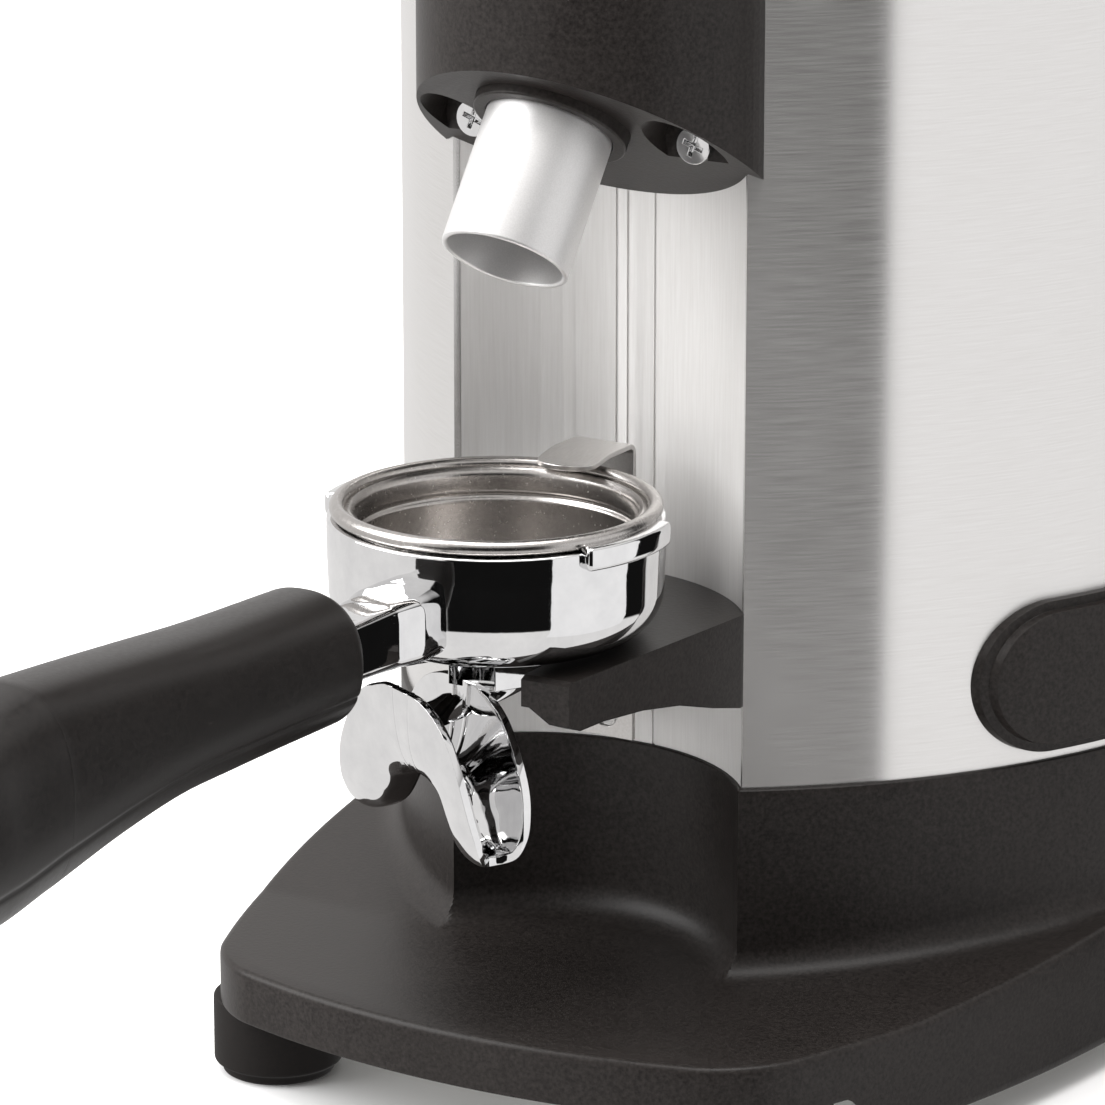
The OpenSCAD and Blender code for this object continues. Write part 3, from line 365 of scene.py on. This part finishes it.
def grid_mesh(name, grids):
    """One mesh of several grids. Each is (points[rows, columns, 3] in millimetres, close_rows,
    close_columns)."""
    points, faces, start = [], [], 0
    for grid, close_rows, close_columns in grids:
        points.append(grid.reshape(-1, 3))
        faces.append(quads(grid.shape[0], grid.shape[1], close_rows, close_columns, start))
        start += grid.shape[0] * grid.shape[1]
    mesh = bpy.data.meshes.new(name)
    mesh.from_pydata((np.concatenate(points) * MM).tolist(), [], np.concatenate(faces).tolist())
    return mesh


def turned(profile, centre, count, axis=(0, 0, 1)):
    """A turned form: a profile of (radius, height) carried round an axis through centre in count steps.
    Each point is the centre, plus the radius times the ray at that turn, plus the height times the axis."""
    profile = np.array(profile, float)
    axis = np.array(axis, float) / np.linalg.norm(axis)
    side = np.cross((0, 1, 0) if abs(axis[1]) < 0.9 else (1, 0, 0), axis)
    side /= np.linalg.norm(side)
    other = np.cross(axis, side)
    turn = np.linspace(0, 2 * math.pi, count, endpoint=False)
    ring = np.cos(turn)[:, None] * side + np.sin(turn)[:, None] * other
    return (np.array(centre, float) + profile[None, :, 0, None] * ring[:, None, :]
            + profile[None, :, 1, None] * axis)


def rounded(points, radius, steps=5):
    """A closed or open outline with each inner corner turned into a small arc: at each corner the path
    leaves the incoming side a radius early, follows a quadratic curve and joins the outgoing side."""
    points = np.array(points, float)
    out = [points[:1]]
    t = np.linspace(0, 1, steps)[:, None]
    for before, here, after in zip(points[:-2], points[1:-1], points[2:]):
        lead, tail = before - here, after - here
        reach = min(radius, np.linalg.norm(lead) * 0.45, np.linalg.norm(tail) * 0.45)
        p0 = here + lead / np.linalg.norm(lead) * reach
        p2 = here + tail / np.linalg.norm(tail) * reach
        out.append((1 - t) ** 2 * p0 + 2 * t * (1 - t) * here + t ** 2 * p2)
    out.append(points[-1:])
    return np.concatenate(out)


EDGE_ANGLE = 32  # degrees: edges that turn by more than this are rounded


def softened(node, body, material, width, segments=3):
    """A copy of a CAD node with its edges rounded: merged, flat faces rejoined, then a bevel."""
    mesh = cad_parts[node].data.copy()
    work = bmesh.new()
    work.from_mesh(mesh)
    bmesh.ops.remove_doubles(work, verts=work.verts, dist=2e-6)
    bmesh.ops.dissolve_limit(work, angle_limit=math.radians(0.3), verts=work.verts, edges=work.edges)
    work.to_mesh(mesh)
    work.free()
    piece = put(node + "_finished", mesh, body, material, [node], crease=EDGE_ANGLE)
    bevel = piece.modifiers.new("edges", "BEVEL")
    bevel.width = width * MM
    bevel.segments = segments
    bevel.limit_method = "ANGLE"
    bevel.angle_limit = math.radians(EDGE_ANGLE)
    bevel.harden_normals = True


# ---------------- base

TRAY_Z, TRAY_FLAT, TRAY_STOP, TRAY_CLIMB = 29.5, 97.0, 40, math.tan(math.radians(4.2))
SKIRT_Z, SKIRT_SIDE_Z, DROP_FROM, DROP_TO = 17.5, 7.0, 117.0, 107.0
BASE_WALL = 3.0
BASE_R = BASE_HI[0]
BASE_BACK = BASE_HI[1] - BURR_Y - BASE_R
TRAY_REACH = BURR_Y - BASE_LO[1]
FRONT_ARC, SIDE_ARC, CORNER = 195.0, 340.0, 9.0
SCOOP_R, SCOOP_Y = 46.5, 119.0
BODY_R = SHELL_HI[0]
BODY_BACK = SHELL_HI[1] - BURR_Y - BODY_R
SIDE_R = 150.0
FLAT_TURN = math.radians(65.7)
PROUD = 1.0


def body_distance(x, y):
    """Signed distance to the body's outline: a round back joined to two flatter side arcs, less the
    scoop in front."""
    away = np.array([math.sin(FLAT_TURN), -math.cos(FLAT_TURN)])
    centre = np.array([0, BODY_BACK]) - (SIDE_R - BODY_R) * away
    meet = centre[1] + SIDE_R * away[1]
    back_part = np.hypot(x, y - BODY_BACK) - BODY_R
    side_part = np.hypot(np.abs(x) - centre[0], y - centre[1]) - SIDE_R
    outline = np.where(y > meet, back_part, side_part)
    return np.maximum(outline, SCOOP_R - np.hypot(x, y + SCOOP_Y))


def tray_distance(x, y):
    """Signed distance to the tray's outline: a front arc and two side arcs with rounded corners, and the
    round back behind them."""
    front = np.hypot(x, y - (FRONT_ARC - TRAY_REACH)) - FRONT_ARC
    side = np.hypot(np.abs(x) + SIDE_ARC - BASE_R, y) - SIDE_ARC
    a, b = np.maximum(front + CORNER, 0), np.maximum(side + CORNER, 0)
    both_arcs = np.where((a > 0) & (b > 0), np.hypot(a, b) - CORNER, np.maximum(front, side))
    return np.where(y > BASE_BACK, np.hypot(x, y - BASE_BACK) - BASE_R, both_arcs)


NEAREST, FARTHEST, HALVINGS = 30.0, 260.0, 40


def reach(distance, want, turn):
    """How far from the burr axis each ray meets the line at the wanted distance, by repeated halving."""
    low, high = np.full_like(turn, NEAREST), np.full_like(turn, FARTHEST)
    want = np.broadcast_to(want, turn.shape)
    for _ in range(HALVINGS):
        middle = (low + high) / 2
        outside = distance(middle * np.sin(turn), -middle * np.cos(turn)) > want
        low, high = np.where(outside, low, middle), np.where(outside, middle, high)
    return (low + high) / 2


def tray_height(y):
    """Height of the tray's top: level in front, then a gentle climb that stops behind the burr axis."""
    return TRAY_Z + np.clip(y + TRAY_FLAT, 0, TRAY_STOP + TRAY_FLAT) * TRAY_CLIMB


def over_tray(rise):
    """Height over the tray's top, as a function of y."""
    return lambda y: tray_height(y) + rise


def skirt_height(y):
    """Height of the skirt's lower edge: high over the front feet, lower along the sides."""
    t = np.clip((y + DROP_FROM) / (DROP_FROM - DROP_TO), 0, 1)
    return SKIRT_Z + (SKIRT_SIDE_Z - SKIRT_Z) * t * t * (3 - 2 * t)


# turns round the base, with more of them close to the two sharp corners of the scoop
TURNS, CORNER_TURNS, CORNER_SPAN = 900, 41, 0.06
SCOOP_CORNER = math.atan2(36.6, 91.0)
COVE_R, TRAY_EDGE_R, LEAST_R = 6.5, 1.6, 0.05
RISER_ROUND = 0.8
LIP, LIP_SHELF, LIP_RISE = 2.6, 2.6, 4
UNDER_TRAY = BASE_WALL + 0.6


def base_surface():
    """Rings round the burr axis, from the lip over the riser's wall, down a hollow fillet, across the tray,
    over its rounded edge, down the skirt and back inside. Each ring is a line of equal distance from the
    riser's or the tray's outline. The fillet and the edge are quarter circles, smaller where the tray is
    narrow; across the tray the rings are spaced evenly between the two outlines."""
    spread = np.linspace(-CORNER_SPAN, CORNER_SPAN, CORNER_TURNS)
    plain_turns = np.linspace(-math.pi, math.pi, TURNS, endpoint=False)
    turn = np.sort(np.concatenate([plain_turns, SCOOP_CORNER + spread, -SCOOP_CORNER - spread]))
    rings = []

    def ring_at(far, height):
        x, y = far * np.sin(turn), -far * np.cos(turn)
        z = height(y) if callable(height) else np.full_like(x, height)
        rings.append(np.stack([x, y + BURR_Y, z], -1))

    def ring(distance, want, height):
        ring_at(reach(distance, want, turn), height)

    def riser(x, y):
        return body_distance(x, y) - PROUD

    riser_far, tray_far = reach(riser, 0.0, turn), reach(tray_distance, 0.0, turn)
    room = tray_far - riser_far
    cove = np.minimum(COVE_R, np.maximum(room * 0.55, LEAST_R))
    edge = np.minimum(TRAY_EDGE_R, np.maximum(room * 0.3, LEAST_R))
    ring(riser, -LIP - LIP_SHELF, RISER_Z + LIP_RISE)
    ring(riser, -LIP, RISER_Z + LIP_RISE)
    ring(riser, -LIP, RISER_Z)
    for inset, drop in ((RISER_ROUND, 0.0), (0.35, 0.1), (0.1, 0.35), (0.0, RISER_ROUND)):
        ring(riser, -inset, RISER_Z - drop)
    foot = tray_height(-riser_far * np.cos(turn)) + cove
    for t in np.linspace(0.04, 1, 7):
        ring(riser, 0.0, RISER_Z - RISER_ROUND + (foot - RISER_Z + RISER_ROUND) * t)
    for a in np.radians(np.linspace(9, 90, 10)):
        ring(riser, cove * (1 - math.cos(a)), over_tray(cove * (1 - math.sin(a))))
    start, end = reach(riser, cove, turn), reach(tray_distance, -edge, turn)
    for t in np.linspace(0, 1, 14)[1:-1]:
        ring_at(start + (end - start) * t, tray_height)
    for a in np.radians(np.linspace(0, 90, 7)):
        ring(tray_distance, -edge * (1 - math.sin(a)), over_tray(-edge * (1 - math.cos(a))))
    y = -tray_far * np.cos(turn)
    top, low = tray_height(y) - edge, skirt_height(y)
    for t in (0.25, 0.5, 0.75, 0.95):
        ring(tray_distance, 0.0, top + (low + 0.6 - top) * t)
    for inset, lift in ((0.0, 0.5), (0.15, 0.15), (0.5, 0.0), (BASE_WALL, 0.0)):
        ring(tray_distance, -inset, low + lift)
    ring(tray_distance, -BASE_WALL - 0.01, over_tray(-UNDER_TRAY))
    inner = np.minimum(reach(riser, BASE_WALL, turn), reach(tray_distance, -BASE_WALL - 0.3, turn))
    ring_at(inner, over_tray(-UNDER_TRAY))
    ring(riser, -BASE_WALL, over_tray(-UNDER_TRAY))
    ring(riser, -BASE_WALL, RISER_Z - BASE_WALL)
    ring(riser, -LIP - LIP_SHELF, RISER_Z - BASE_WALL)
    return np.stack(rings)


put("base_moulding", grid_mesh("base_moulding", [(base_surface(), True, True)]), "body", TEXTURED_ABS,
    ["base_housing"], crease=30)

# ---------------- feet

FOOT_SCREW_R = 4.0
FOOT_X = SCREW_HI[0] - FOOT_SCREW_R
FOOT_R = FEET_HI[0] - FOOT_X
FOOT_BACK = SCREW_HI[1] - BURR_Y - FOOT_SCREW_R
FOOT_FRONT = BURR_Y - SCREW_LO[1] - FOOT_SCREW_R
foot_profile = rounded([
    (2.3, SKIRT_Z), (FOOT_R, SKIRT_Z), (FOOT_R, 2.6), (FOOT_R - 1.7, 2.0), (FOOT_R - 1.9, 0.0),
    (5.6, 0.0), (5.2, 0.6), (5.0, 6.0), (2.2, 6.0)], 0.7)
foot_profile = np.concatenate([foot_profile, foot_profile[:1]])
feet = [(turned(foot_profile, (x, BURR_Y + y, 0), 72), True, False)
        for x, y in ((-FOOT_X, -FOOT_FRONT), (FOOT_X, -FOOT_FRONT),
                     (-FOOT_BACK, FOOT_BACK), (FOOT_BACK, FOOT_BACK))]
put("rubber_feet", grid_mesh("rubber_feet", feet), "body", RUBBER, ["feet"])

# ---------------- spout tube

TILT = math.radians(36)
TUBE_AXIS = np.array([0, math.sin(TILT), math.cos(TILT)])
TUBE_R = TUBE_HI[0]
# the tube's lowest corner fixes where its end lies along the axis
TUBE_LENGTH = (TUBE_HI[2] - TUBE_LO[2] - 2 * TUBE_R * math.sin(TILT)) / math.cos(TILT)
TUBE_END = np.array([0, TUBE_LO[1] + TUBE_R * math.cos(TILT), TUBE_LO[2] + TUBE_R * math.sin(TILT)])
TUBE_BORE = TUBE_R - 1.2
tube_profile = rounded([(TUBE_BORE, TUBE_LENGTH), (TUBE_BORE, 0.0), (TUBE_R, 0.0), (TUBE_R, TUBE_LENGTH),
                        (TUBE_BORE, TUBE_LENGTH)], 0.55)
tube = turned(tube_profile, TUBE_END, 144, TUBE_AXIS)
put("outlet_tube", grid_mesh("outlet_tube", [(tube, True, False)]), "body", SATIN_ALUMINIUM, ["spout_tube"])

# ---------------- filter holder

HOLDER = (0.0, BURR_Y - HOLDER_Y, 0.0)
BASKET_R = BASKET_HI[0]
BASKET_FLOOR = BASKET_LO[2]


def basket_profile():
    """Outside up under the rolled bead, round it, down the inside past a pressed ridge to the floor."""
    bead = 1.6
    roll = np.radians(np.linspace(-80, 200, 22))
    bead_line = np.stack([BASKET_R - bead + bead * np.cos(roll), RIM_Z - bead + bead * np.sin(roll)], -1)
    inside = 29.5
    ridge = np.linspace(0, 1, 9)
    ridge_line = np.stack([inside + 0.75 * np.sin(ridge * math.pi) ** 2, RIM_Z - 6.4 - 2.4 * ridge], -1)
    return np.concatenate([
        [(0, BASKET_FLOOR), (inside - 1.5, BASKET_FLOOR), (inside + 0.2, BASKET_FLOOR + 0.6),
         (inside + 0.8, BASKET_FLOOR + 2.2), (inside + 0.8, RIM_Z - 3.4), (inside + 1.6, RIM_Z - 2.0)],
        bead_line,
        [(inside + 1.2, RIM_Z - 1.6), (inside + 0.3, RIM_Z - 2.2), (inside, RIM_Z - 3.4),
         (inside, RIM_Z - 6.2)],
        ridge_line,
        [(inside, RIM_Z - 9.2), (inside, BASKET_FLOOR + 2.4), (inside - 0.5, BASKET_FLOOR + 1.2),
         (inside - 1.8, BASKET_FLOOR + 0.8), (0, BASKET_FLOOR + 0.8)],
    ])


put("basket_drawn", grid_mesh("basket_drawn", [(turned(basket_profile(), HOLDER, 192), True, False)]),
    "filter_holder", BASKET_STEEL, ["filter_basket"], crease=50)

BOWL_R = 35.5
BOWL_Z = 112.0
BOWL_TOP = RIM_Z - 3.4


def bowl_profile():
    """Floor, a generous lower radius, a wall with a slight draft, a rolled lip, and the inside."""
    bend = np.radians(np.linspace(-90, 0, 16))
    low = 10.5
    curve = np.stack([BOWL_R - 0.3 - low + low * np.cos(bend), BOWL_Z + low + low * np.sin(bend)], -1)
    lip = rounded([(BOWL_R - 0.3, BOWL_Z + low + 1), (BOWL_R, BOWL_TOP - 6), (BOWL_R, BOWL_TOP),
                   (BOWL_R - 3.4, BOWL_TOP), (BOWL_R - 3.9, BOWL_TOP - 2), (BOWL_R - 3.9, BOWL_Z + 3.5),
                   (4.2, BOWL_Z + 3.5), (4.0, BOWL_Z), (4.0, BOWL_LO[2])], 0.7)
    outlet = rounded([(4.0, BOWL_LO[2]), (8.0, BOWL_LO[2]), (8.0, BOWL_Z - 0.6), (9.5, BOWL_Z),
                      (16, BOWL_Z)], 0.8)
    return np.concatenate([outlet, curve, lip])


def lug(centre_turn, half_turn):
    """A bayonet lug: a rounded block carried round the bowl; its section shrinks over the last millimetres
    at both ends so that the ends are round."""
    t = np.linspace(-1, 1, 60)
    turn = centre_turn + half_turn * t
    end = np.clip((1 - np.abs(t)) / 0.09, 0, 1)
    size = np.sqrt(1 - (1 - end) ** 2)
    round_it = np.linspace(0, 2 * math.pi, 40, endpoint=False)
    shape_r = np.sign(np.cos(round_it)) * np.abs(np.cos(round_it)) ** 0.45
    shape_z = np.sign(np.sin(round_it)) * np.abs(np.sin(round_it)) ** 0.45
    middle_r, half_r = (BOWL_R - 1.4 + BOWL_HI[0]) / 2, (BOWL_HI[0] - BOWL_R + 1.4) / 2
    top = BOWL_HI[2]
    r = middle_r + half_r * size[:, None] * shape_r[None]
    z = top - 2.6 + 2.55 * size[:, None] * shape_z[None]
    return np.stack([r * np.cos(turn)[:, None], r * np.sin(turn)[:, None] + HOLDER[1], z], -1)


lug_middle, lug_half = math.radians(-7), math.radians(22)
put("bowl_cast", grid_mesh("bowl_cast", [
    (turned(bowl_profile(), HOLDER, 192), True, False),
    (lug(lug_middle, lug_half), False, True),
    (lug(lug_middle + math.pi, lug_half), False, True),
]), "filter_holder", CHROME, ["holder_bowl"], crease=50)


def loft(stations, count):
    """A form lofted along -Y, with one section at each station: (distance in front of the burr axis, height
    of its middle, half width, half height, squareness). Each section is a superellipse, whose coordinates
    are the cosine and sine raised to two over the squareness."""
    stations = np.array(stations, float)
    turn = np.linspace(0, 2 * math.pi, count, endpoint=False)
    c, s = np.cos(turn), np.sin(turn)
    y, z, a, b, n = (stations[:, i][:, None] for i in range(5))
    x = a * np.sign(c) * np.abs(c) ** (2 / n)
    h = z + b * np.sign(s) * np.abs(s) ** (2 / n)
    return np.stack([x, BURR_Y - y + 0 * x, h], -1)


def smooth_stations(stations, count):
    """Stations resampled along a smooth curve: cubic between neighbours with slopes from their spans."""
    stations = np.array(stations, float)
    s = stations[:, 0]
    slope = np.gradient(stations, s, axis=0)
    t = np.linspace(s[0], s[-1], count)
    i = np.clip(np.searchsorted(s, t, side="right") - 1, 0, len(s) - 2)
    h = (s[i + 1] - s[i])[:, None]
    u = ((t - s[i]) / (s[i + 1] - s[i]))[:, None]
    p0, p1, m0, m1 = stations[i], stations[i + 1], slope[i], slope[i + 1]
    return ((2 * u ** 3 - 3 * u ** 2 + 1) * p0 + (u ** 3 - 2 * u ** 2 + u) * h * m0
            + (-2 * u ** 3 + 3 * u ** 2) * p1 + (u ** 3 - u ** 2) * h * m1)


GRIP_FROM = BURR_Y - GRIP_HI[1]
CAP_FROM = BURR_Y - CAP_HI[1]
GRIP_TO = BURR_Y - GRIP_LO[1]
HANDLE_TO = BURR_Y - CAP_LO[1]
HANDLE_Z = 125.3
grip_line = [
    (GRIP_FROM + 3, HANDLE_Z + 0.1, 14.0, 14.2, 2.3), (GRIP_FROM + 39, HANDLE_Z + 1.2, 14.2, 14.8, 2.35),
    (GRIP_FROM + 58, HANDLE_Z + 1.9, 14.4, 15.6, 2.4), (GRIP_FROM + 76, HANDLE_Z + 1.6, 14.6, 17.4, 2.4),
    (GRIP_TO, HANDLE_Z + 0.3, 15.0, 20.6, 2.4)]
cap_line = [
    (CAP_FROM, HANDLE_Z + 0.3, 15.0, 20.6, 2.4), (CAP_FROM + 18, HANDLE_Z - 2.4, 15.0, 20.6, 2.4),
    (HANDLE_TO - 13, HANDLE_Z - 5.5, 13.5, 16.5, 2.35), (HANDLE_TO - 5, HANDLE_Z - 7.4, 9.8, 11.8, 2.3)]
HANDLE_ROUND = 240  # points round each section of the handle
SHORT_END = 4.0  # an end shorter than this rounds only its rim; a longer one closes like a dome


def round_end(section, length, way):
    """Sections of a round end, from the given one to a point, over a quarter turn. Each moves on by the
    length times the sine. Its half sizes lose the length times one less the cosine at a short end, and are
    scaled by the cosine at a long one."""
    sections = []
    for a in np.radians(np.linspace(0, 90, 9))[1:]:
        half = section[2:4] - length * (1 - np.cos(a)) if length < SHORT_END else section[2:4] * np.cos(a)
        along = section[0] + way * length * np.sin(a)
        sections.append([along, section[1], *np.maximum(half, 0.0), section[4]])
    point = [*sections[-1][:2], 0.0, 0.0, section[4]]
    return np.array([*sections, point])


def closed_form(stations, start_round, end_round, groove):
    """A lofted form with round ends. groove is (turn, width, depth) of a fine line along the form, pressed
    towards each section's middle with a bell-shaped depth."""
    line = smooth_stations(stations, 60)
    first, last = round_end(line[0], start_round, -1), round_end(line[-1], end_round, 1)
    whole = np.concatenate([first[::-1], line, last])
    form = loft(whole, HANDLE_ROUND)
    at, width, depth = groove
    turn = np.linspace(0, 2 * math.pi, HANDLE_ROUND, endpoint=False)
    cut = depth * np.exp(-((turn - at) / width) ** 2)
    centre = np.stack([0 * whole[:, 0], BURR_Y - whole[:, 0], whole[:, 1]], -1)[:, None, :]
    away = form - centre
    length = np.maximum(np.linalg.norm(away, axis=-1, keepdims=True), 1e-6)
    return form - away / length * np.minimum(cut[None, :, None], length * 0.5)


# the grip's moulding line runs along its lower side, seen from the outside as a fine groove
PARTING = (math.radians(335), 0.035, 0.35)
put("grip_moulding", grid_mesh("grip_moulding", [(closed_form(grip_line, 2.9, 0.5, PARTING), False, True)]),
    "filter_holder", GRIP_PHENOLIC, ["holder_grip"], crease=40)
put("grip_end_cap", grid_mesh("grip_end_cap", [(closed_form(cap_line, 0.5, 5.0, PARTING), False, True)]),
    "filter_holder", GRIP_PHENOLIC, ["grip_cap"], crease=40)

# the neck: a square cast bar that spreads where it meets the bowl
neck_line = np.array([
    (GRIP_FROM - 37, HANDLE_Z - 1.8, 9.0, 7.5, 4.0), (GRIP_FROM - 34, HANDLE_Z - 1.8, 9.0, 7.5, 4.0),
    (GRIP_FROM - 29, HANDLE_Z - 1.8, 8.6, 7.4, 5.0), (GRIP_FROM - 22, HANDLE_Z - 1.6, 7.0, 6.5, 7.0),
    (GRIP_FROM - 12, HANDLE_Z - 1.5, 6.5, 6.1, 8.0), (GRIP_FROM - 0.2, HANDLE_Z - 1.3, 6.3, 5.9, 7.0),
    (GRIP_FROM + 1, HANDLE_Z, 4.9, 4.9, 2.0), (GRIP_FROM + 12, HANDLE_Z, 4.8, 4.8, 2.0)])
t = np.linspace(neck_line[0, 0], neck_line[-1, 0], 80)
neck = np.stack([t] + [np.interp(t, neck_line[:, 0], neck_line[:, i]) for i in range(1, 5)], -1)
ends = neck[[0, -1]].copy()
ends[:, 2:4] = 0
neck_form = loft(np.concatenate([ends[:1], neck, ends[1:]]), 96)
put("neck_cast", grid_mesh("neck_cast", [(neck_form, False, True)]), "filter_holder", CHROME,
    ["holder_neck"], crease=40)

# ---------------- twin spout

SPOUT_TURN = math.radians(27)
ARCH_Y = 16.6
ARCH_X = 1.8
SPOUT_TOP, SPOUT_TIP = SPOUT_HI[2], SPOUT_LO[2]


def through(points, count):
    """A smooth line through points, by the same cubic as the grip's stations, spaced by chord length."""
    points = np.array(points, float)
    along = np.concatenate([[0], np.cumsum(np.linalg.norm(np.diff(points, axis=0), axis=1))])
    return smooth_stations(np.column_stack([along, points]), count)[:, 1:]


def turned_about_holder(points):
    """From the spout's own frame to the machine's: turned about the holder's axis."""
    x, y, z = points[..., 0], points[..., 1], points[..., 2]
    c, s = math.cos(-SPOUT_TURN), math.sin(-SPOUT_TURN)
    return np.stack([c * x - s * y, s * x + c * y + HOLDER[1], z], -1)


def gutter(side):
    """One leg: a channel whose floor is the inner arch and whose rims are the outer line. Across the leg
    the section is a U. At the tip the two lines meet, and the width closes on a quarter of an ellipse."""
    top, tip = SPOUT_TOP - 0.9, SPOUT_TIP + 0.1
    inner = through([(0, tip + 13.8), (6, tip + 12.9), (11, tip + 10.4), (14.4, tip + 5.6),
                     (17.4, tip + 2.0), (20.4, tip + 0.5), (24.0, tip)], 80)
    outer = through([(0, top + 2.4), (8, top + 2.0), (16, top - 1.6), (22.6, top - 9.8), (26.6, tip + 10.5),
                     (27.4, tip + 4.6), (26.4, tip + 1.4), (24.0, tip)], 80)
    s = np.linspace(0, 1, 80)
    wide = 7.6 - 0.6 * s
    lip = np.clip((s - 0.62) / 0.38, 0, 1)
    wide = wide * np.sqrt(np.maximum(1 - lip ** 2, 0.0))
    seam = np.exp(-((outer[:, 0] - 3.1) / 0.45) ** 2) * 0.35
    v = np.linspace(-1, 1, 61) * math.pi / 2
    across = np.sign(np.sin(v)) * np.abs(np.sin(v)) ** 0.6
    up = 1 - np.abs(np.cos(v)) ** 0.9
    line = inner[:, None, :] + (outer - inner)[:, None, :] * up[None, :, None]
    x = side * line[..., 0] + ARCH_X
    y = -ARCH_Y + (wide - seam)[:, None] * across[None]
    return turned_about_holder(np.stack([x, y, line[..., 1]], -1))


legs = [(gutter(side), False, False) for side in (1, -1)]
spout = put("twin_spout_cast", grid_mesh("twin_spout_cast", legs), "filter_holder", CHROME, ["twin_spout"],
            crease=60)
wall = spout.modifiers.new("wall", "SOLIDIFY")
wall.thickness = 1.7 * MM
wall.offset = 0
rim = spout.modifiers.new("rims", "BEVEL")
rim.width = 0.5 * MM
rim.segments = 3
rim.limit_method = "ANGLE"
rim.angle_limit = math.radians(50)


def boss_surface():
    """The boss under the nut and the arm that carries the arch, one lofted form leaning forward."""
    t = np.linspace(0, 1, 26)[:, None]
    turn = np.linspace(0, 2 * math.pi, 64, endpoint=False)[None]
    y = -ARCH_Y * 0.9 * t ** 1.6
    z = SPOUT_TOP - 0.2 - 5.6 * t
    r = 8.6 - 1.9 * t
    x = r * np.cos(turn)
    ring = np.stack([x, y + r * np.sin(turn), z - 5.5 * np.clip(-np.sin(turn), -1, 1) * t * 0.4], -1)
    first = np.broadcast_to(ring[:1].mean(axis=1, keepdims=True), ring[:1].shape)
    last = np.broadcast_to(ring[-1:].mean(axis=1, keepdims=True), ring[-1:].shape)
    return turned_about_holder(np.concatenate([first, ring, last]))


put("spout_boss", grid_mesh("spout_boss", [(boss_surface(), False, True)]), "filter_holder", CHROME,
    ["twin_spout"], crease=40)

# ---------------- hopper lid

LID_LO, LID_HI = corners("hopper_lid")
LID_R, LID_SEAT = LID_HI[0], LID_LO[2] + 6


def lid_profile():
    """Under the plate, round its edge, up a shallow cone to a raised knob; a locating ring hangs below."""
    ring_in, ring_out = LID_R - 6, LID_R - 4.9
    points = [(0, LID_SEAT), (ring_in, LID_SEAT), (ring_in, LID_LO[2]), (ring_out, LID_LO[2]),
              (ring_out, LID_SEAT), (LID_R, LID_SEAT), (LID_R, LID_SEAT + 3), (LID_R - 4, LID_SEAT + 6),
              (14, LID_SEAT + 8),
              (12, LID_HI[2] - 1), (0, LID_HI[2])]
    return rounded(points, 1.0)


put("lid_moulding", grid_mesh("lid_moulding", [(turned(lid_profile(), (0, BURR_Y, 0), 192), True, False)]),
    "hopper_lid", GRIP_PHENOLIC, ["hopper_lid"])

# ---------------- pieces that keep their CAD form, with softer edges

softened("front_panel", "body", SATIN_PANEL, 0.12, 2)
softened("fork", "body", TEXTURED_ABS, 1.5, 4)
softened("chute_cover", "body", TEXTURED_ABS, 1.2, 4)
softened("spout_collar", "body", TEXTURED_ABS, 0.5)
softened("switch_plate", "body", TEXTURED_ABS, 0.5)
softened("power_rocker", "power_rocker", GRIP_PHENOLIC, 0.5)
softened("cable_gland", "body", GRIP_PHENOLIC, 0.5)
softened("cover_screws", "body", CHROME, 0.25, 2)
softened("top_housing", "body", TEXTURED_ABS, 0.8)
softened("control_panel", "body", SATIN_ALUMINIUM, 0.4)
softened("display_window", "body", SMOKED_ACRYLIC, 0.3, 2)
for button in ("button_single", "button_double", "button_manual"):
    softened(button, button, GRIP_PHENOLIC, 0.4)
softened("adjustment_collar", "adjuster", TEXTURED_ABS, 0.6)
softened("lock_knob", "lock_knob", GRIP_PHENOLIC, 0.8)
softened("hopper_gate", "hopper_gate", GRIP_PHENOLIC, 0.4)
softened("spout_nut", "filter_holder", CHROME, 0.5)
softened("spring_clip", "body", SPRING_STEEL, 0.25, 2)

# ---------------- CAD nodes that only take a finish

FINISHES = {
    BRUSHED_STEEL: ["body_shell"],
    ZINC_PLATE: ["bottom_plate", "foot_screws", "fork_screws", "clip_screw", "columns", "lower_burr_screws",
                 "upper_burr_screws", "basket_spring"],
    CLEAR_PLASTIC: ["hopper"],
    GRIP_PHENOLIC: ["chute_duct"],
    CAST_ALUMINIUM: ["motor_deck", "motor_can", "capacitor", "grinding_chamber", "burr_carrier",
                     "adjuster_body"],
    WINDINGS: ["stator"],
    GROUND_STEEL: ["rotor_shaft", "lower_bearing", "upper_bearing", "lower_burr", "upper_burr"],
    BOARD: ["control_board"],
}
for material, nodes in FINISHES.items():
    for node in nodes:
        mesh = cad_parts[node].data
        mesh.materials.clear()
        mesh.materials.append(material)
